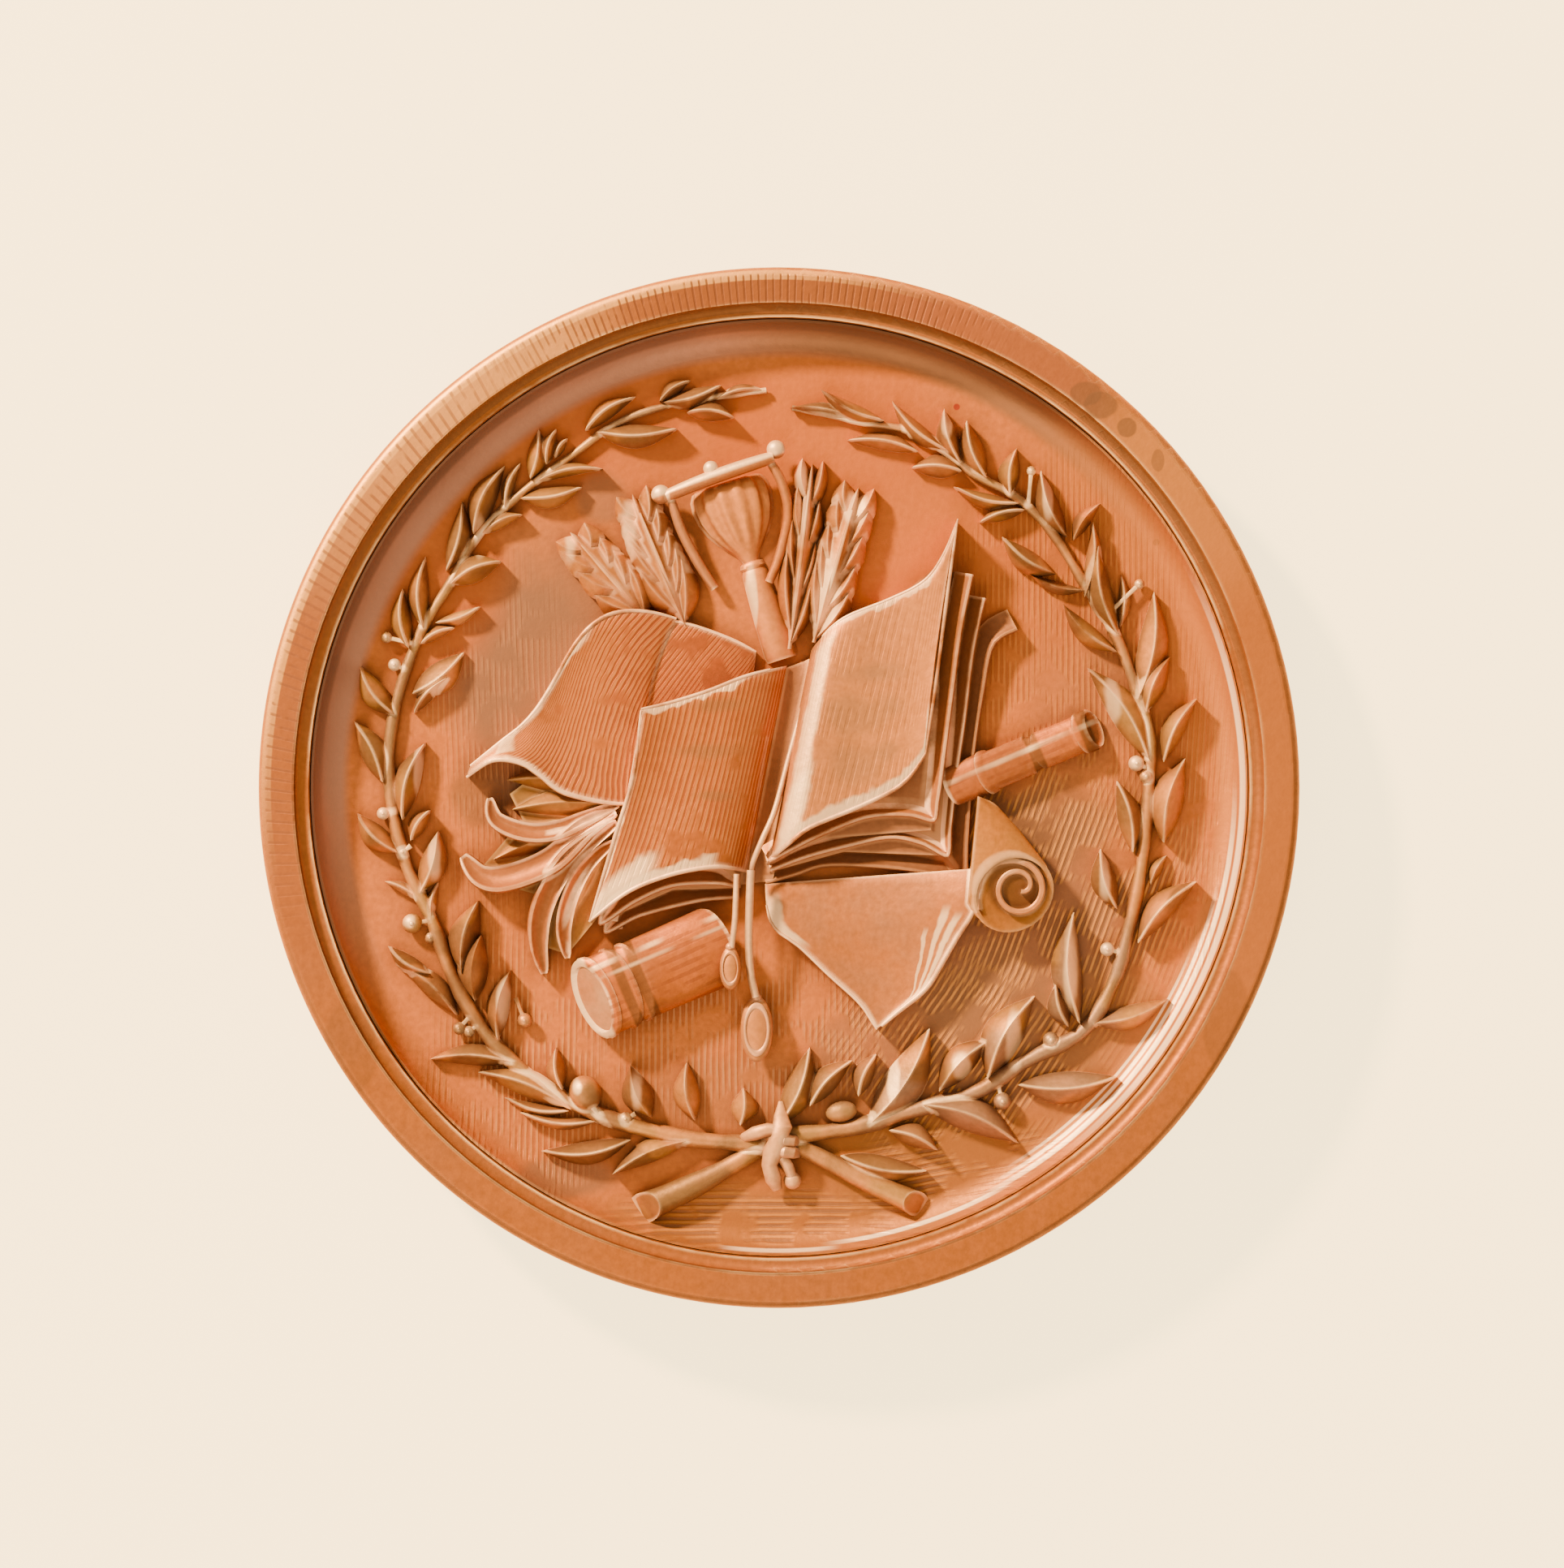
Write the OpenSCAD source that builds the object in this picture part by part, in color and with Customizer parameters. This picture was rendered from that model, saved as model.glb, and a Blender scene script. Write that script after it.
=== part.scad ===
// Academic medallion: a turned, dished plate in a moulded rim, with cast relief on its field.
// A laurel wreath of two tied branches surrounds a trophy of learning: an open book over a
// parchment, curled leaves, a telescope, a scroll, an hourglass, quills and two seals on cords.
// It lies on its back: +Z is the face, +Y is the top of the design.

/* [Rim] */
// Diameter of the whole medallion
medal_d = 64; // [58:0.5:76]
// Height of the rim's flat band above the back
rim_h = 5.6; // [5:0.1:7]
// Width of the rim's flat band
band_w = 2.2; // [1.6:0.1:3]
// Radius that rounds the rim's outer edge
edge_r = 0.55; // [0.3:0.05:0.9]
// Radius of the hollow moulding inside the band
scotia_r = 0.6; // [0.4:0.05:0.9]
// Width of the thin fillet inside the hollow
fillet_w = 0.25; // [0.15:0.05:0.5]
// Width of the rim's ledge under the plate
ledge_w = 1.4; // [0.8:0.1:2.2]
// Thickness of the rim's ledge
ledge_h = 0.9; // [0.5:0.1:1.4]

/* [Plate] */
// Thickness of the plate at its flat field
field_h = 2.4; // [2:0.1:2.8]
// Radius of the cove that rises from the field to the rim
cove_r = 1.7; // [1:0.1:2]
// Width of the plate's flat lip outside the cove
lip_w = 0.15; // [0.1:0.05:0.4]

/* [Wreath] */
// Length of a full laurel leaf
leaf_len = 4.5; // [3.8:0.1:5.2]
// Width of a full laurel leaf
leaf_w = 1.7; // [1.2:0.05:2.1]
// Thickness of a stem where the branches cross
stem_w = 1.1; // [0.8:0.05:1.5]
// Diameter of a berry
berry_d = 1; // [0.7:0.05:1.4]
// Diameter of the one ripe olive
olive_d = 2.1; // [1.5:0.1:2.6]

/* [Trophy] */
// Thickness of one cover board of the open book
board_h = 0.7; // [0.4:0.05:1]
// Radius of the telescope's barrel
barrel_r = 2.6; // [2:0.05:2.9]
// Radius of the telescope's eyepiece tube
eyepiece_r = 1.3; // [0.9:0.05:1.6]
// Radius of the scroll's roll
roll_r = 2.6; // [2:0.05:3]
// Thickness of the cords that hold the seals
cord_w = 0.5; // [0.35:0.05:0.8]
// Half width of a quill's vane
vane_w = 1.2; // [0.8:0.05:1.5]

/* [Fit] */
// Gap between two pieces that are set side by side
fit_gap = 0.06; // [0.03:0.01:0.15]
// How far the highest relief stays below the rim
relief_drop = 0.1; // [0:0.05:0.4]

/* [Hidden] */

medal_r = medal_d / 2;
scotia_in = medal_r - band_w - scotia_r;
plate_seat_r = scotia_in - fillet_w;
plate_r = plate_seat_r - fit_gap;
flat_r = plate_r - lip_w - cove_r;
ledge_in = plate_seat_r - ledge_w;
relief_h = rim_h - field_h - relief_drop;
leaf_reach = 0.8 * leaf_len;
wreath_r = flat_r - leaf_reach;
trophy_w = 2 * (wreath_r - leaf_reach);
leaf_edge_h = 0.14 * relief_h;
leaf_ridge_h = 0.4 * relief_h;
overlap = 0.02;
sink = 0.5;
smooth = 160;

// Trophy tables give places in percent of the trophy's width from its centre,
// and heights in percent of the relief's height above the field.
pct = trophy_w / 100;
rise = relief_h / 100;

// Stem radius as a share of the wreath's radius, by degrees round from the tie.
STEM_LEFT = [[0, .93], [20, .95], [40, .98], [70, .995], [95, 1.01], [120, 1.01], [150, 1.04], [178, 1.03]];
STEM_RIGHT = [[0, .93], [20, .94], [45, .975], [80, .985], [115, .98], [140, .99], [178, .995]];

// Sprigs: degrees from the tie, outer leaf's length, its lean from the stem,
// inner leaf's length, its lean. Lengths are shares of a full leaf, 0 for none.
SPRIGS_LEFT = [
    [7, 0, 0, .60, 70], [13, 1.15, 37, .82, 62], [20, 1.2, 30, .85, 36], [28, 1.0, 25, 0, 0],
    [36, 1.1, 22, .62, 44], [45, 1.15, 42, 1.0, 44], [55, 1.0, 16, .85, 36], [61, .9, 24, 1.0, 50],
    [70, .95, 32, 1.05, 26], [78, 1.0, 21, .6, 30], [89, 1.0, 23, .88, 25], [101, .85, 42, 1.0, 34],
    [110, .87, 23, .56, 42], [116, .92, 12, .7, 34], [122, .88, 20, .87, 21], [130, 1.05, 15, .64, 24],
    [138, .72, 22, .82, 28], [144, .6, 26, .55, 18], [152, .85, 10, .98, 24], [163, .65, 24, .65, 26],
    [171, .65, 5, .4, 20]
];
SPRIGS_RIGHT = [
    [5, 0, 0, 1.0, 55], [11, 1.15, 26, .78, 50], [17, 0, 0, 1.45, 42], [26, 1.3, 44, .86, 18],
    [37, 1.3, 34, 1.3, 28], [51, 1.15, 36, .62, 52], [58, .6, 48, 1.05, 43], [67, 1.15, 18, .85, 40],
    [80, 1.2, 12, 1.02, 27], [94, 1.05, 30, 1.25, 27], [102, 1.15, 20, 0, 0], [113, .82, 48, .98, 30],
    [117, 1.15, 12, 0, 0], [124, .82, 42, .8, 38], [131, .94, 18, .76, 22], [140, .68, 54, .92, 24],
    [145, .72, 42, .6, 50], [151, .8, 42, .78, 30], [157, 1.0, 12, 1.0, 20], [166, .9, 14, .8, 2]
];
// Berries: degrees from the tie, offset from the stem towards the rim as a share of a leaf.
BERRIES_LEFT = [[52, .4], [54, .26], [69, .2], [82, -.1], [86, .25], [108, .2]];
BERRIES_RIGHT = [[9, -.45], [36, .2], [47, -.12], [63, -.12], [92, -.2], [94, -.08]];

// Ruled sheets: foot x, foot y, head x, head y, foot height, head height.
RIGHT_PAGE = [
    [-1.9, -11.2, 5, 21.2, 45, 40], [0, -9.1, 6.9, 23.8, 75, 60], [5, -5.6, 11.2, 26.9, 88, 75],
    [11.2, -2.9, 16.9, 29.1, 85, 80], [17.5, .2, 22.5, 32.2, 80, 85], [20.6, 2.5, 25.4, 36.2, 78, 92],
    [22.5, 5.6, 27.5, 41.2, 78, 100]
];
LEFT_PAGE = [
    [-4.8, -13.5, 3.1, 19, 45, 40], [-7.5, -12.9, .6, 18.8, 70, 60], [-12.5, -12.1, -5, 17, 85, 75],
    [-17.5, -13.1, -11.2, 14.8, 85, 82], [-22.5, -14.8, -16.9, 12.5, 80, 85],
    [-28.1, -17.5, -21.2, 10.8, 72, 85]
];
PARCHMENT = [
    [-7.5, 8.8, -3.1, 21.2, 20, 20], [-13.8, 3.8, -7.5, 23.4, 30, 30], [-18.8, -1.9, -13.8, 25.8, 38, 36],
    [-24, -2.5, -20, 27, 45, 46], [-28.8, -1.9, -25.4, 27, 55, 60], [-32.5, -1, -29.4, 24.2, 62, 70],
    [-36.2, 1.2, -33.8, 17.5, 66, 60], [-38.8, 2.8, -38.1, 11, 70, 62], [-42.5, 4, -42.2, 6.9, 72, 70],
    [-46.2, 2.8, -46.5, 4, 55, 60]
];
SCROLL_SHEET = [
    [-1.9, -16.2, 30, -13.8, 30, 50], [-1.2, -21.2, 28.4, -18.8, 35, 48], [3.1, -24.4, 27.5, -23.8, 35, 50],
    [7.5, -28.1, 25.6, -28.5, 35, 52], [11.9, -32.5, 21.9, -33.8, 38, 50], [15, -36.2, 16.2, -37.2, 42, 42]
];

// Layers under the pages: height, then spine foot, middle of the lower edge, fore foot,
// waist of the fore edge, fore head and a corner hidden under the page, each as x and y.
LAYERS_RIGHT = [
    [62, [-1.9, -12.2], [11.2, -5.2], [23.4, -4.8], [26.2, 11.2], [30.6, 32.2], [12, 12]],
    [42, [-1.5, -14.4], [13.8, -9.8], [26, -11], [28.1, 10], [32.1, 29.4], [13, 8]]
];
LAYERS_LEFT = [
    [58, [-4.8, -15], [-15, -16], [-25.4, -20.9], [-24.4, -5], [-20.6, 10], [-11, 0]]
];
BOARD_RIGHT = [[-1.2, -17.1], [13.8, -14.1], [28.8, -14.4], [30.8, 8.8], [36.9, 24], [14, 4]];
BOARD_LEFT = [[-5.2, -16.9], [-15, -18.2], [-26.5, -22.6], [-23.8, -6.2], [-20, 9.8], [-12, -3]];
SPINE_WEB = [[-6, -15.8], [-.6, -15.5], [6.6, 20.2], [1.6, 17.6]];

// Curls: four points along each curled leaf, then its height.
CURLS = [
    [[-24.4, -2.8], [-33, -6], [-40.5, -5.5], [-42.8, -1], 62],
    [[-25.2, -4.8], [-33, -13], [-43, -15.5], [-48.5, -10.6], 70],
    [[-26, -7], [-33.5, -12.5], [-37.2, -20], [-36.2, -27.5], 66],
    [[-26.4, -11.2], [-31, -16], [-33.2, -22], [-32.6, -26.5], 50]
];
CURL_WEB = [
    [-24.4, -2], [-38, 2], [-42, -1], [-40, -5], [-46, -12], [-42, -15.5], [-36.5, -17], [-36, -25],
    [-33, -26], [-26.5, -18]
];

// Quills: tip x and y, foot x and y, width as a share of the vane's, height.
QUILL_FAR_RIGHT = [12.1, 46.6, 5.4, 21, 1, 62];
QUILL_RIGHT = [5, 50.2, 1, 25.5, .75, 50];
QUILL_LEFT = [-22.9, 45.2, -14.4, 23, 1, 50];
QUILL_LEFT_LOW = [-32.2, 39.4, -20, 24, 1, 42];

// The tie: points down its strap, over the place where the branches meet.
TIE = [[-1.8, -51.5], [-1.2, -55], [-2.6, -58.5], [.2, -61.8]];
STEM_JOINT = [-1, -56];
tie_w = 1.5;
tie_bed = 0.22 * relief_h;

// Cords: points from the spine to the seal, then the seal's half width and half length.
CORD_LONG = [[-4.4, -13], [-4.4, -19], [-4, -26], [-3.2, -32], 2.5, 5.2];
CORD_SHORT = [[-6.5, -13.6], [-6.5, -18], [-6.7, -22], [-6.9, -25], 1.9, 3.4];

// Hourglass: distance below the top plate along the axis, then radius, both in percent.
GLASS = [[.4, 5], [5, 6.1], [9, 5.3], [12.5, 3], [14.6, 1.2], [17, 1.9], [21, 2.4], [25.2, 2.3]];
GLASS_TOP = [-8.9, 48.2];
GLASS_TURN = 19;

TELESCOPE_MOUTH = [-28.9, -32.9];
TELESCOPE_END = [-6, -22.8];
EYEPIECE_INNER = [28, .6];
EYEPIECE_END = [49, 9.2];
TUBE_TILT = 24;
TUBE_FLAT = 0.42;

function place(p) = [p[0], p[1]] * pct;
function mirrored(p) = [-p[0], p[1]];
function mix(a, b, t) = a + (b - a) * t;
// A smooth curve that leaves a, passes m halfway and reaches b.
function bow(a, m, b, n = 5) = [
    for (i = [0 : n]) let (t = i / n, c = 2 * m - (a + b) / 2)
        a * pow(1 - t, 2) + c * 2 * t * (1 - t) + b * pow(t, 2)
];
// A cubic curve with a and d as ends and b and c as handles.
function handled(a, b, c, d, n) = [
    for (i = [0 : n]) let (t = i / n)
        a * pow(1 - t, 3) + b * 3 * t * pow(1 - t, 2) + c * 3 * pow(t, 2) * (1 - t) + d * pow(t, 3)
];

// The convex solid round a list of points.
module skin(points) {
    hull() polyhedron(points, [[for (i = [0 : len(points) - 1]) i]]);
}

// The solid between a row of rings that have as many points each.
module loft(rings) {
    n = len(rings[0]);
    last = (len(rings) - 1) * n;
    polyhedron([for (r = rings) each r], concat(
        [[for (j = [0 : n - 1]) j], [for (j = [n - 1 : -1 : 0]) last + j]],
        [for (i = [0 : n : last - 1], j = [0 : n - 1]) [i + j, i + n + j, i + n + (j + 1) % n]],
        [for (i = [0 : n : last - 1], j = [0 : n - 1]) [i + j, i + n + (j + 1) % n, i + (j + 1) % n]]
    ));
}

// Sets a piece of relief on the field, with one flat cut under all that it is built from.
module on_field() {
    translate([0, 0, field_h]) difference() {
        children();
        translate([-medal_r, -medal_r, -4 * sink]) cube([medal_d, medal_d, 4 * sink]);
    }
}

// A post and a slab of relief that reach down through that cut.
module post(h, d1, d2, sides) {
    translate([0, 0, -sink]) cylinder(h = h + sink, d1 = d1, d2 = d2, $fn = sides);
}

module slab(h) {
    translate([0, 0, -sink]) linear_extrude(h + sink) children();
}

module rim_profile() {
    difference() {
        union() {
            translate([ledge_in, 0]) square([medal_r - ledge_in, ledge_h]);
            translate([plate_seat_r, 0]) square([medal_r - edge_r - plate_seat_r, rim_h]);
            translate([plate_seat_r, 0]) square([medal_r - plate_seat_r, rim_h - edge_r]);
            translate([medal_r - edge_r, rim_h - edge_r]) circle(r = edge_r, $fn = smooth);
        }
        translate([scotia_in, rim_h]) circle(r = scotia_r, $fn = smooth);
        translate([plate_seat_r - 1, rim_h - scotia_r]) square([1 + fillet_w, 2 * scotia_r]);
    }
}

module rim() {
    color("peru") rotate_extrude($fn = smooth) rim_profile();
}

module field_plate() {
    color("chocolate") rotate_extrude($fn = smooth) difference() {
        union() {
            square([ledge_in - fit_gap, field_h]);
            translate([0, ledge_h]) square([plate_r, field_h + cove_r - ledge_h]);
        }
        translate([0, field_h]) square([flat_r, 2 * cove_r]);
        translate([flat_r, field_h + cove_r]) circle(r = cove_r, $fn = smooth);
    }
}

// Keeps a piece of relief clear of the cove and the rim.
module inside_cove() {
    difference() {
        children();
        translate([0, 0, field_h]) rotate_extrude($fn = 72) difference() {
            translate([flat_r, -1]) square([plate_r, relief_h + 2]);
            translate([flat_r, cove_r]) circle(r = cove_r - fit_gap, $fn = 40);
        }
    }
}

// A leaf with a raised midrib, from its base along +X.
module leaf(len, w, edge_h = leaf_edge_h, ridge_h = leaf_ridge_h) {
    skin(concat(
        [for (p = [[0, 0], [.3, .47], [.64, .46], [1, 0], [.64, -.46], [.3, -.47]], z = [-sink, edge_h])
            [p[0] * len, p[1] * w, z]],
        [[.1 * len, 0, .8 * ridge_h], [.5 * len, 0, ridge_h], [.86 * len, 0, .6 * ridge_h]]
    ));
}

function stem_point(table, a) = wreath_r * lookup(a, table) * [-sin(a), -cos(a)];

// One branch, grown from the tie round the left side to the top.
module branch(stem, sprigs, berries) {
    last = sprigs[len(sprigs) - 1][0];
    step = last / 28;
    for (a = [0 : step : last - step / 2]) hull() for (b = [a, a + step])
        translate(stem_point(stem, b))
            post(.3 * relief_h, stem_w * (1 - .6 * b / last), .5 * stem_w * (1 - .6 * b / last), 6);
    for (s = sprigs) translate(stem_point(stem, s[0])) {
        w = leaf_w * mix(1.1, .8, s[0] / last);
        if (s[1] > 0) rotate(180 - s[0] + s[2]) leaf(s[1] * leaf_len, w * mix(.5, 1, s[1]));
        if (s[3] > 0) rotate(180 - s[0] - s[4]) leaf(s[3] * leaf_len, w * mix(.5, 1, s[3]));
    }
    for (b = berries) {
        foot = stem_point(stem, b[0]);
        at = foot * (1 + b[1] * leaf_len / wreath_r);
        hull() {
            translate(foot) post(.14 * relief_h, .3 * berry_d, .3 * berry_d, 5);
            translate(at) post(.14 * relief_h, .3 * berry_d, .3 * berry_d, 5);
        }
        translate(at) hull() {
            post(.18 * relief_h, berry_d, berry_d, 8);
            post(.34 * relief_h, .6 * berry_d, .6 * berry_d, 8);
        }
    }
}

// The two cut stem ends that show below the tie.
module stem_stub(from, to, w) {
    hull() {
        translate(from) post(.3 * relief_h, stem_w, .5 * stem_w, 8);
        translate(place(to)) post(.42 * relief_h, 1.5 * w, w, 8);
    }
}

module olive() {
    translate(stem_point(STEM_LEFT, 32.5) * .965) rotate(-70) scale([1.25, 1, 1]) hull() {
        post(.16 * relief_h, olive_d, olive_d, 12);
        post(.5 * relief_h, .5 * olive_d, .5 * olive_d, 12);
    }
}

module laurel_left() {
    color("darkgoldenrod") inside_cove() difference() {
        on_field() {
            branch(STEM_LEFT, SPRIGS_LEFT, BERRIES_LEFT);
            stem_stub(stem_point(STEM_LEFT, 3), [-20.4, -65.4], 1.4 * stem_w);
            olive();
        }
        tie_room();
        other_side(0);
    }
}

module laurel_right() {
    color("darkgoldenrod") inside_cove() difference() {
        on_field() {
            mirror([1, 0, 0]) branch(STEM_RIGHT, SPRIGS_RIGHT, BERRIES_RIGHT);
            stem_stub(mirrored(stem_point(STEM_RIGHT, 3)), [20.5, -63.8], stem_w);
        }
        tie_room();
        other_side(180);
    }
}

// The branches meet end to end under the tie, with the gap between them.
module other_side(turn) {
    translate([place(STEM_JOINT)[0], place(STEM_JOINT)[1], field_h]) rotate(turn)
        translate([-fit_gap / 2, -trophy_w / 4, -1]) cube([trophy_w, .4 * trophy_w, relief_h + 2]);
}

module tie_shape(grow) {
    for (i = [0 : len(TIE) - 2]) hull() for (p = [TIE[i], TIE[i + 1]])
        translate([place(p)[0], place(p)[1], tie_bed - grow])
            cylinder(h = .64 * relief_h - tie_bed + 2 * grow, d1 = tie_w + 2 * grow, d2 = .7 * tie_w + 2 * grow, $fn = 10);
}

module tie_room() {
    translate([0, 0, field_h]) tie_shape(fit_gap);
}

module laurel_tie() {
    color("goldenrod") translate([0, 0, field_h]) tie_shape(0);
}

// One ruled strip of a sheet: the solid under it down to the field.
module strip(a, b) {
    skin([
        for (e = [[a[0], a[1], a[4]], [a[2], a[3], a[5]], [b[2], b[3], b[5]], [b[0], b[1], b[4]]], up = [0, 1])
            [e[0] * pct, e[1] * pct, up * e[2] * rise - (1 - up) * sink]
    ]);
}

module sheet(rows) {
    for (i = [0 : len(rows) - 2]) strip(rows[i], rows[i + 1]);
}

function sheet_outline(rows) = concat(
    [for (r = rows) place(r)],
    [for (i = [len(rows) - 1 : -1 : 0]) place([rows[i][2], rows[i][3]])]
);

function layer_outline(p) = concat(
    bow(place(p[0]), place(p[1]), place(p[2])),
    bow(place(p[2]), place(p[3]), place(p[4])),
    [place(p[5])]
);

// Everything that the open book covers, seen from above.
module book_outline() {
    polygon(sheet_outline(RIGHT_PAGE));
    polygon(sheet_outline(LEFT_PAGE));
    for (p = concat(LAYERS_RIGHT, LAYERS_LEFT)) polygon(layer_outline([for (i = [1 : 6]) p[i]]));
    polygon(layer_outline(BOARD_RIGHT));
    polygon(layer_outline(BOARD_LEFT));
    polygon([for (p = SPINE_WEB) place(p)]);
}

// Cuts away the space that front pieces take, with the gap between them.
module behind(depth = relief_h + 2) {
    translate([0, 0, field_h - 1]) linear_extrude(depth) offset(delta = fit_gap) children();
}

module open_book() {
    color("sandybrown") on_field() {
        sheet(RIGHT_PAGE);
        sheet(LEFT_PAGE);
        for (p = concat(LAYERS_RIGHT, LAYERS_LEFT))
            slab(p[0] * rise) polygon(layer_outline([for (i = [1 : 6]) p[i]]));
        slab(board_h) {
            polygon(layer_outline(BOARD_RIGHT));
            polygon(layer_outline(BOARD_LEFT));
            polygon([for (p = SPINE_WEB) place(p)]);
        }
    }
}

module parchment() {
    color("tan") difference() {
        on_field() sheet(PARCHMENT);
        behind() book_outline();
    }
}

module curl(c) {
    pts = handled(place(c[0]), place(c[1]), place(c[2]), place(c[3]), 5);
    for (i = [0 : len(pts) - 2]) hull() for (j = [i, i + 1])
        translate(pts[j])
            post(c[4] * rise * mix(1, .7, j / 5), 2.5 * pct, 1.5 * pct, 6);
}

module curled_leaves() {
    color("burlywood") difference() {
        on_field() {
            slab(24 * rise) polygon([for (p = CURL_WEB) place(p)]);
            for (c = CURLS) curl(c);
        }
        behind() {
            book_outline();
            barrel_outline();
            polygon(sheet_outline(PARCHMENT));
        }
    }
}

// A round disc across a lying tube, flattened as low relief.
module tube_disc(p, r, turn, lift) {
    translate([p[0], p[1], lift]) scale([1, 1, TUBE_FLAT]) rotate([0, 90 - TUBE_TILT, turn])
        cylinder(h = overlap, r = r, $fn = 20);
    translate([p[0], p[1], -sink]) rotate(turn) scale([sin(TUBE_TILT), 1, 1]) cylinder(h = overlap, r = r, $fn = 20);
}

module tube(a, b, ra, rb, lift_a, lift_b) {
    turn = atan2(b[1] - a[1], b[0] - a[0]);
    hull() {
        tube_disc(a, ra, turn, lift_a);
        tube_disc(b, rb, turn, lift_b);
    }
}

module barrel_outline() {
    mouth = place(TELESCOPE_MOUTH);
    end = place(TELESCOPE_END);
    hull() for (p = [mouth, end]) translate(p) rotate(atan2(end[1] - mouth[1], end[0] - mouth[0]))
        scale([sin(TUBE_TILT), 1]) circle(r = barrel_r, $fn = 24);
}

module telescope_barrel() {
    mouth = place(TELESCOPE_MOUTH);
    end = place(TELESCOPE_END);
    color("sienna") difference() {
        on_field() {
            tube(mouth, mix(mouth, end, .2), barrel_r, barrel_r, .54 * relief_h, .5 * relief_h);
            tube(mix(mouth, end, .2), mix(mouth, end, .3), .92 * barrel_r, .92 * barrel_r, .5 * relief_h, .48 * relief_h);
            tube(mix(mouth, end, .3), end, .97 * barrel_r, .9 * barrel_r, .48 * relief_h, .4 * relief_h);
        }
        translate([mouth[0], mouth[1], field_h + .3 * relief_h]) rotate(atan2(end[1] - mouth[1], end[0] - mouth[0]))
            scale([sin(TUBE_TILT) * .8, .8, 1]) cylinder(h = relief_h, r = barrel_r, $fn = 24);
        behind() book_outline();
        translate([0, 0, field_h + cord_bed]) linear_extrude(relief_h) offset(delta = fit_gap) {
            cord_outline(CORD_LONG);
            cord_outline(CORD_SHORT);
        }
    }
}

module telescope_eyepiece() {
    inner = place(EYEPIECE_INNER);
    end = place(EYEPIECE_END);
    color("sienna") difference() {
        on_field() {
            tube(inner, mix(inner, end, .3), 1.12 * eyepiece_r, 1.12 * eyepiece_r, .3 * relief_h, .3 * relief_h);
            tube(mix(inner, end, .3), mix(inner, end, .62), eyepiece_r, eyepiece_r, .3 * relief_h, .3 * relief_h);
            tube(mix(inner, end, .62), mix(inner, end, .95), .84 * eyepiece_r, .84 * eyepiece_r, .3 * relief_h, .3 * relief_h);
            tube(mix(inner, end, .95), end, .95 * eyepiece_r, .95 * eyepiece_r, .3 * relief_h, .3 * relief_h);
        }
        behind() book_outline();
    }
}

roll_end = [36.5, -16.6];
roll_back = [30.8, -9];
cord_bed = 0.6 * relief_h;

module scroll() {
    color("tan") difference() {
        on_field() {
            sheet(SCROLL_SHEET);
            hull() {
                translate(place(roll_end)) post(.86 * relief_h, 2 * roll_r, 2 * roll_r, 28);
                translate(place(roll_back)) post(.5 * relief_h, 1.6 * roll_r, 1.6 * roll_r, 28);
            }
            hull() {
                translate(place(roll_end) - [.6 * roll_r, .3 * roll_r]) post(.6 * relief_h, roll_r, roll_r, 16);
                translate(place([29, -17.5])) post(.5 * relief_h, .6 * roll_r, .6 * roll_r, 12);
            }
        }
        spiral_cut();
        behind() book_outline();
    }
}

// The hollow between the turns of the rolled end.
module spiral_cut() {
    turns = 1.6;
    n = 18;
    function spiral(i) = let (a = 200 - 360 * turns * i / n, r = roll_r * mix(.74, .16, i / n))
        place(roll_end) + r * [cos(a), sin(a)];
    translate([0, 0, field_h + .55 * relief_h]) for (i = [0 : n - 1]) hull() for (j = [i, i + 1])
        translate(spiral(j)) cylinder(h = relief_h, d = .17 * roll_r, $fn = 6);
}

module hourglass() {
    top = place(GLASS_TOP);
    down = [sin(GLASS_TURN), -cos(GLASS_TURN)];
    across = [cos(GLASS_TURN), sin(GLASS_TURN)];
    color("peru") difference() {
        on_field() {
            loft([
                for (g = GLASS) [
                    for (a = [-1, for (k = [0 : 8]) k * 22.5, 181])
                        let (p = top + down * g[0] * pct + across * g[1] * cos(a) * pct)
                            [p[0], p[1], a < 0 || a > 180 ? -sink : .6 * g[1] * sin(a) * pct]
                ]
            ]);
            hull() for (s = [-1, 1]) translate(top + across * s * 9.4 * pct) post(.5 * relief_h, 2.1 * pct, 1.2 * pct, 8);
            for (s = [-1, 1]) {
                translate(top + across * s * 9.6 * pct) post(.56 * relief_h, 2.6 * pct, 1.6 * pct, 10);
                hull() {
                    translate(top + across * s * 8.9 * pct) post(.36 * relief_h, 1.3 * pct, 1.3 * pct, 6);
                    translate(top + across * s * 5.1 * pct + down * 15.3 * pct) post(.31 * relief_h, 1.3 * pct, 1.3 * pct, 6);
                }
            }
            translate(top - down * 1.4 * pct) post(.5 * relief_h, 2.4 * pct, 1.5 * pct, 10);
        }
        behind() {
            book_outline();
            polygon(sheet_outline(PARCHMENT));
        }
    }
}

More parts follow.
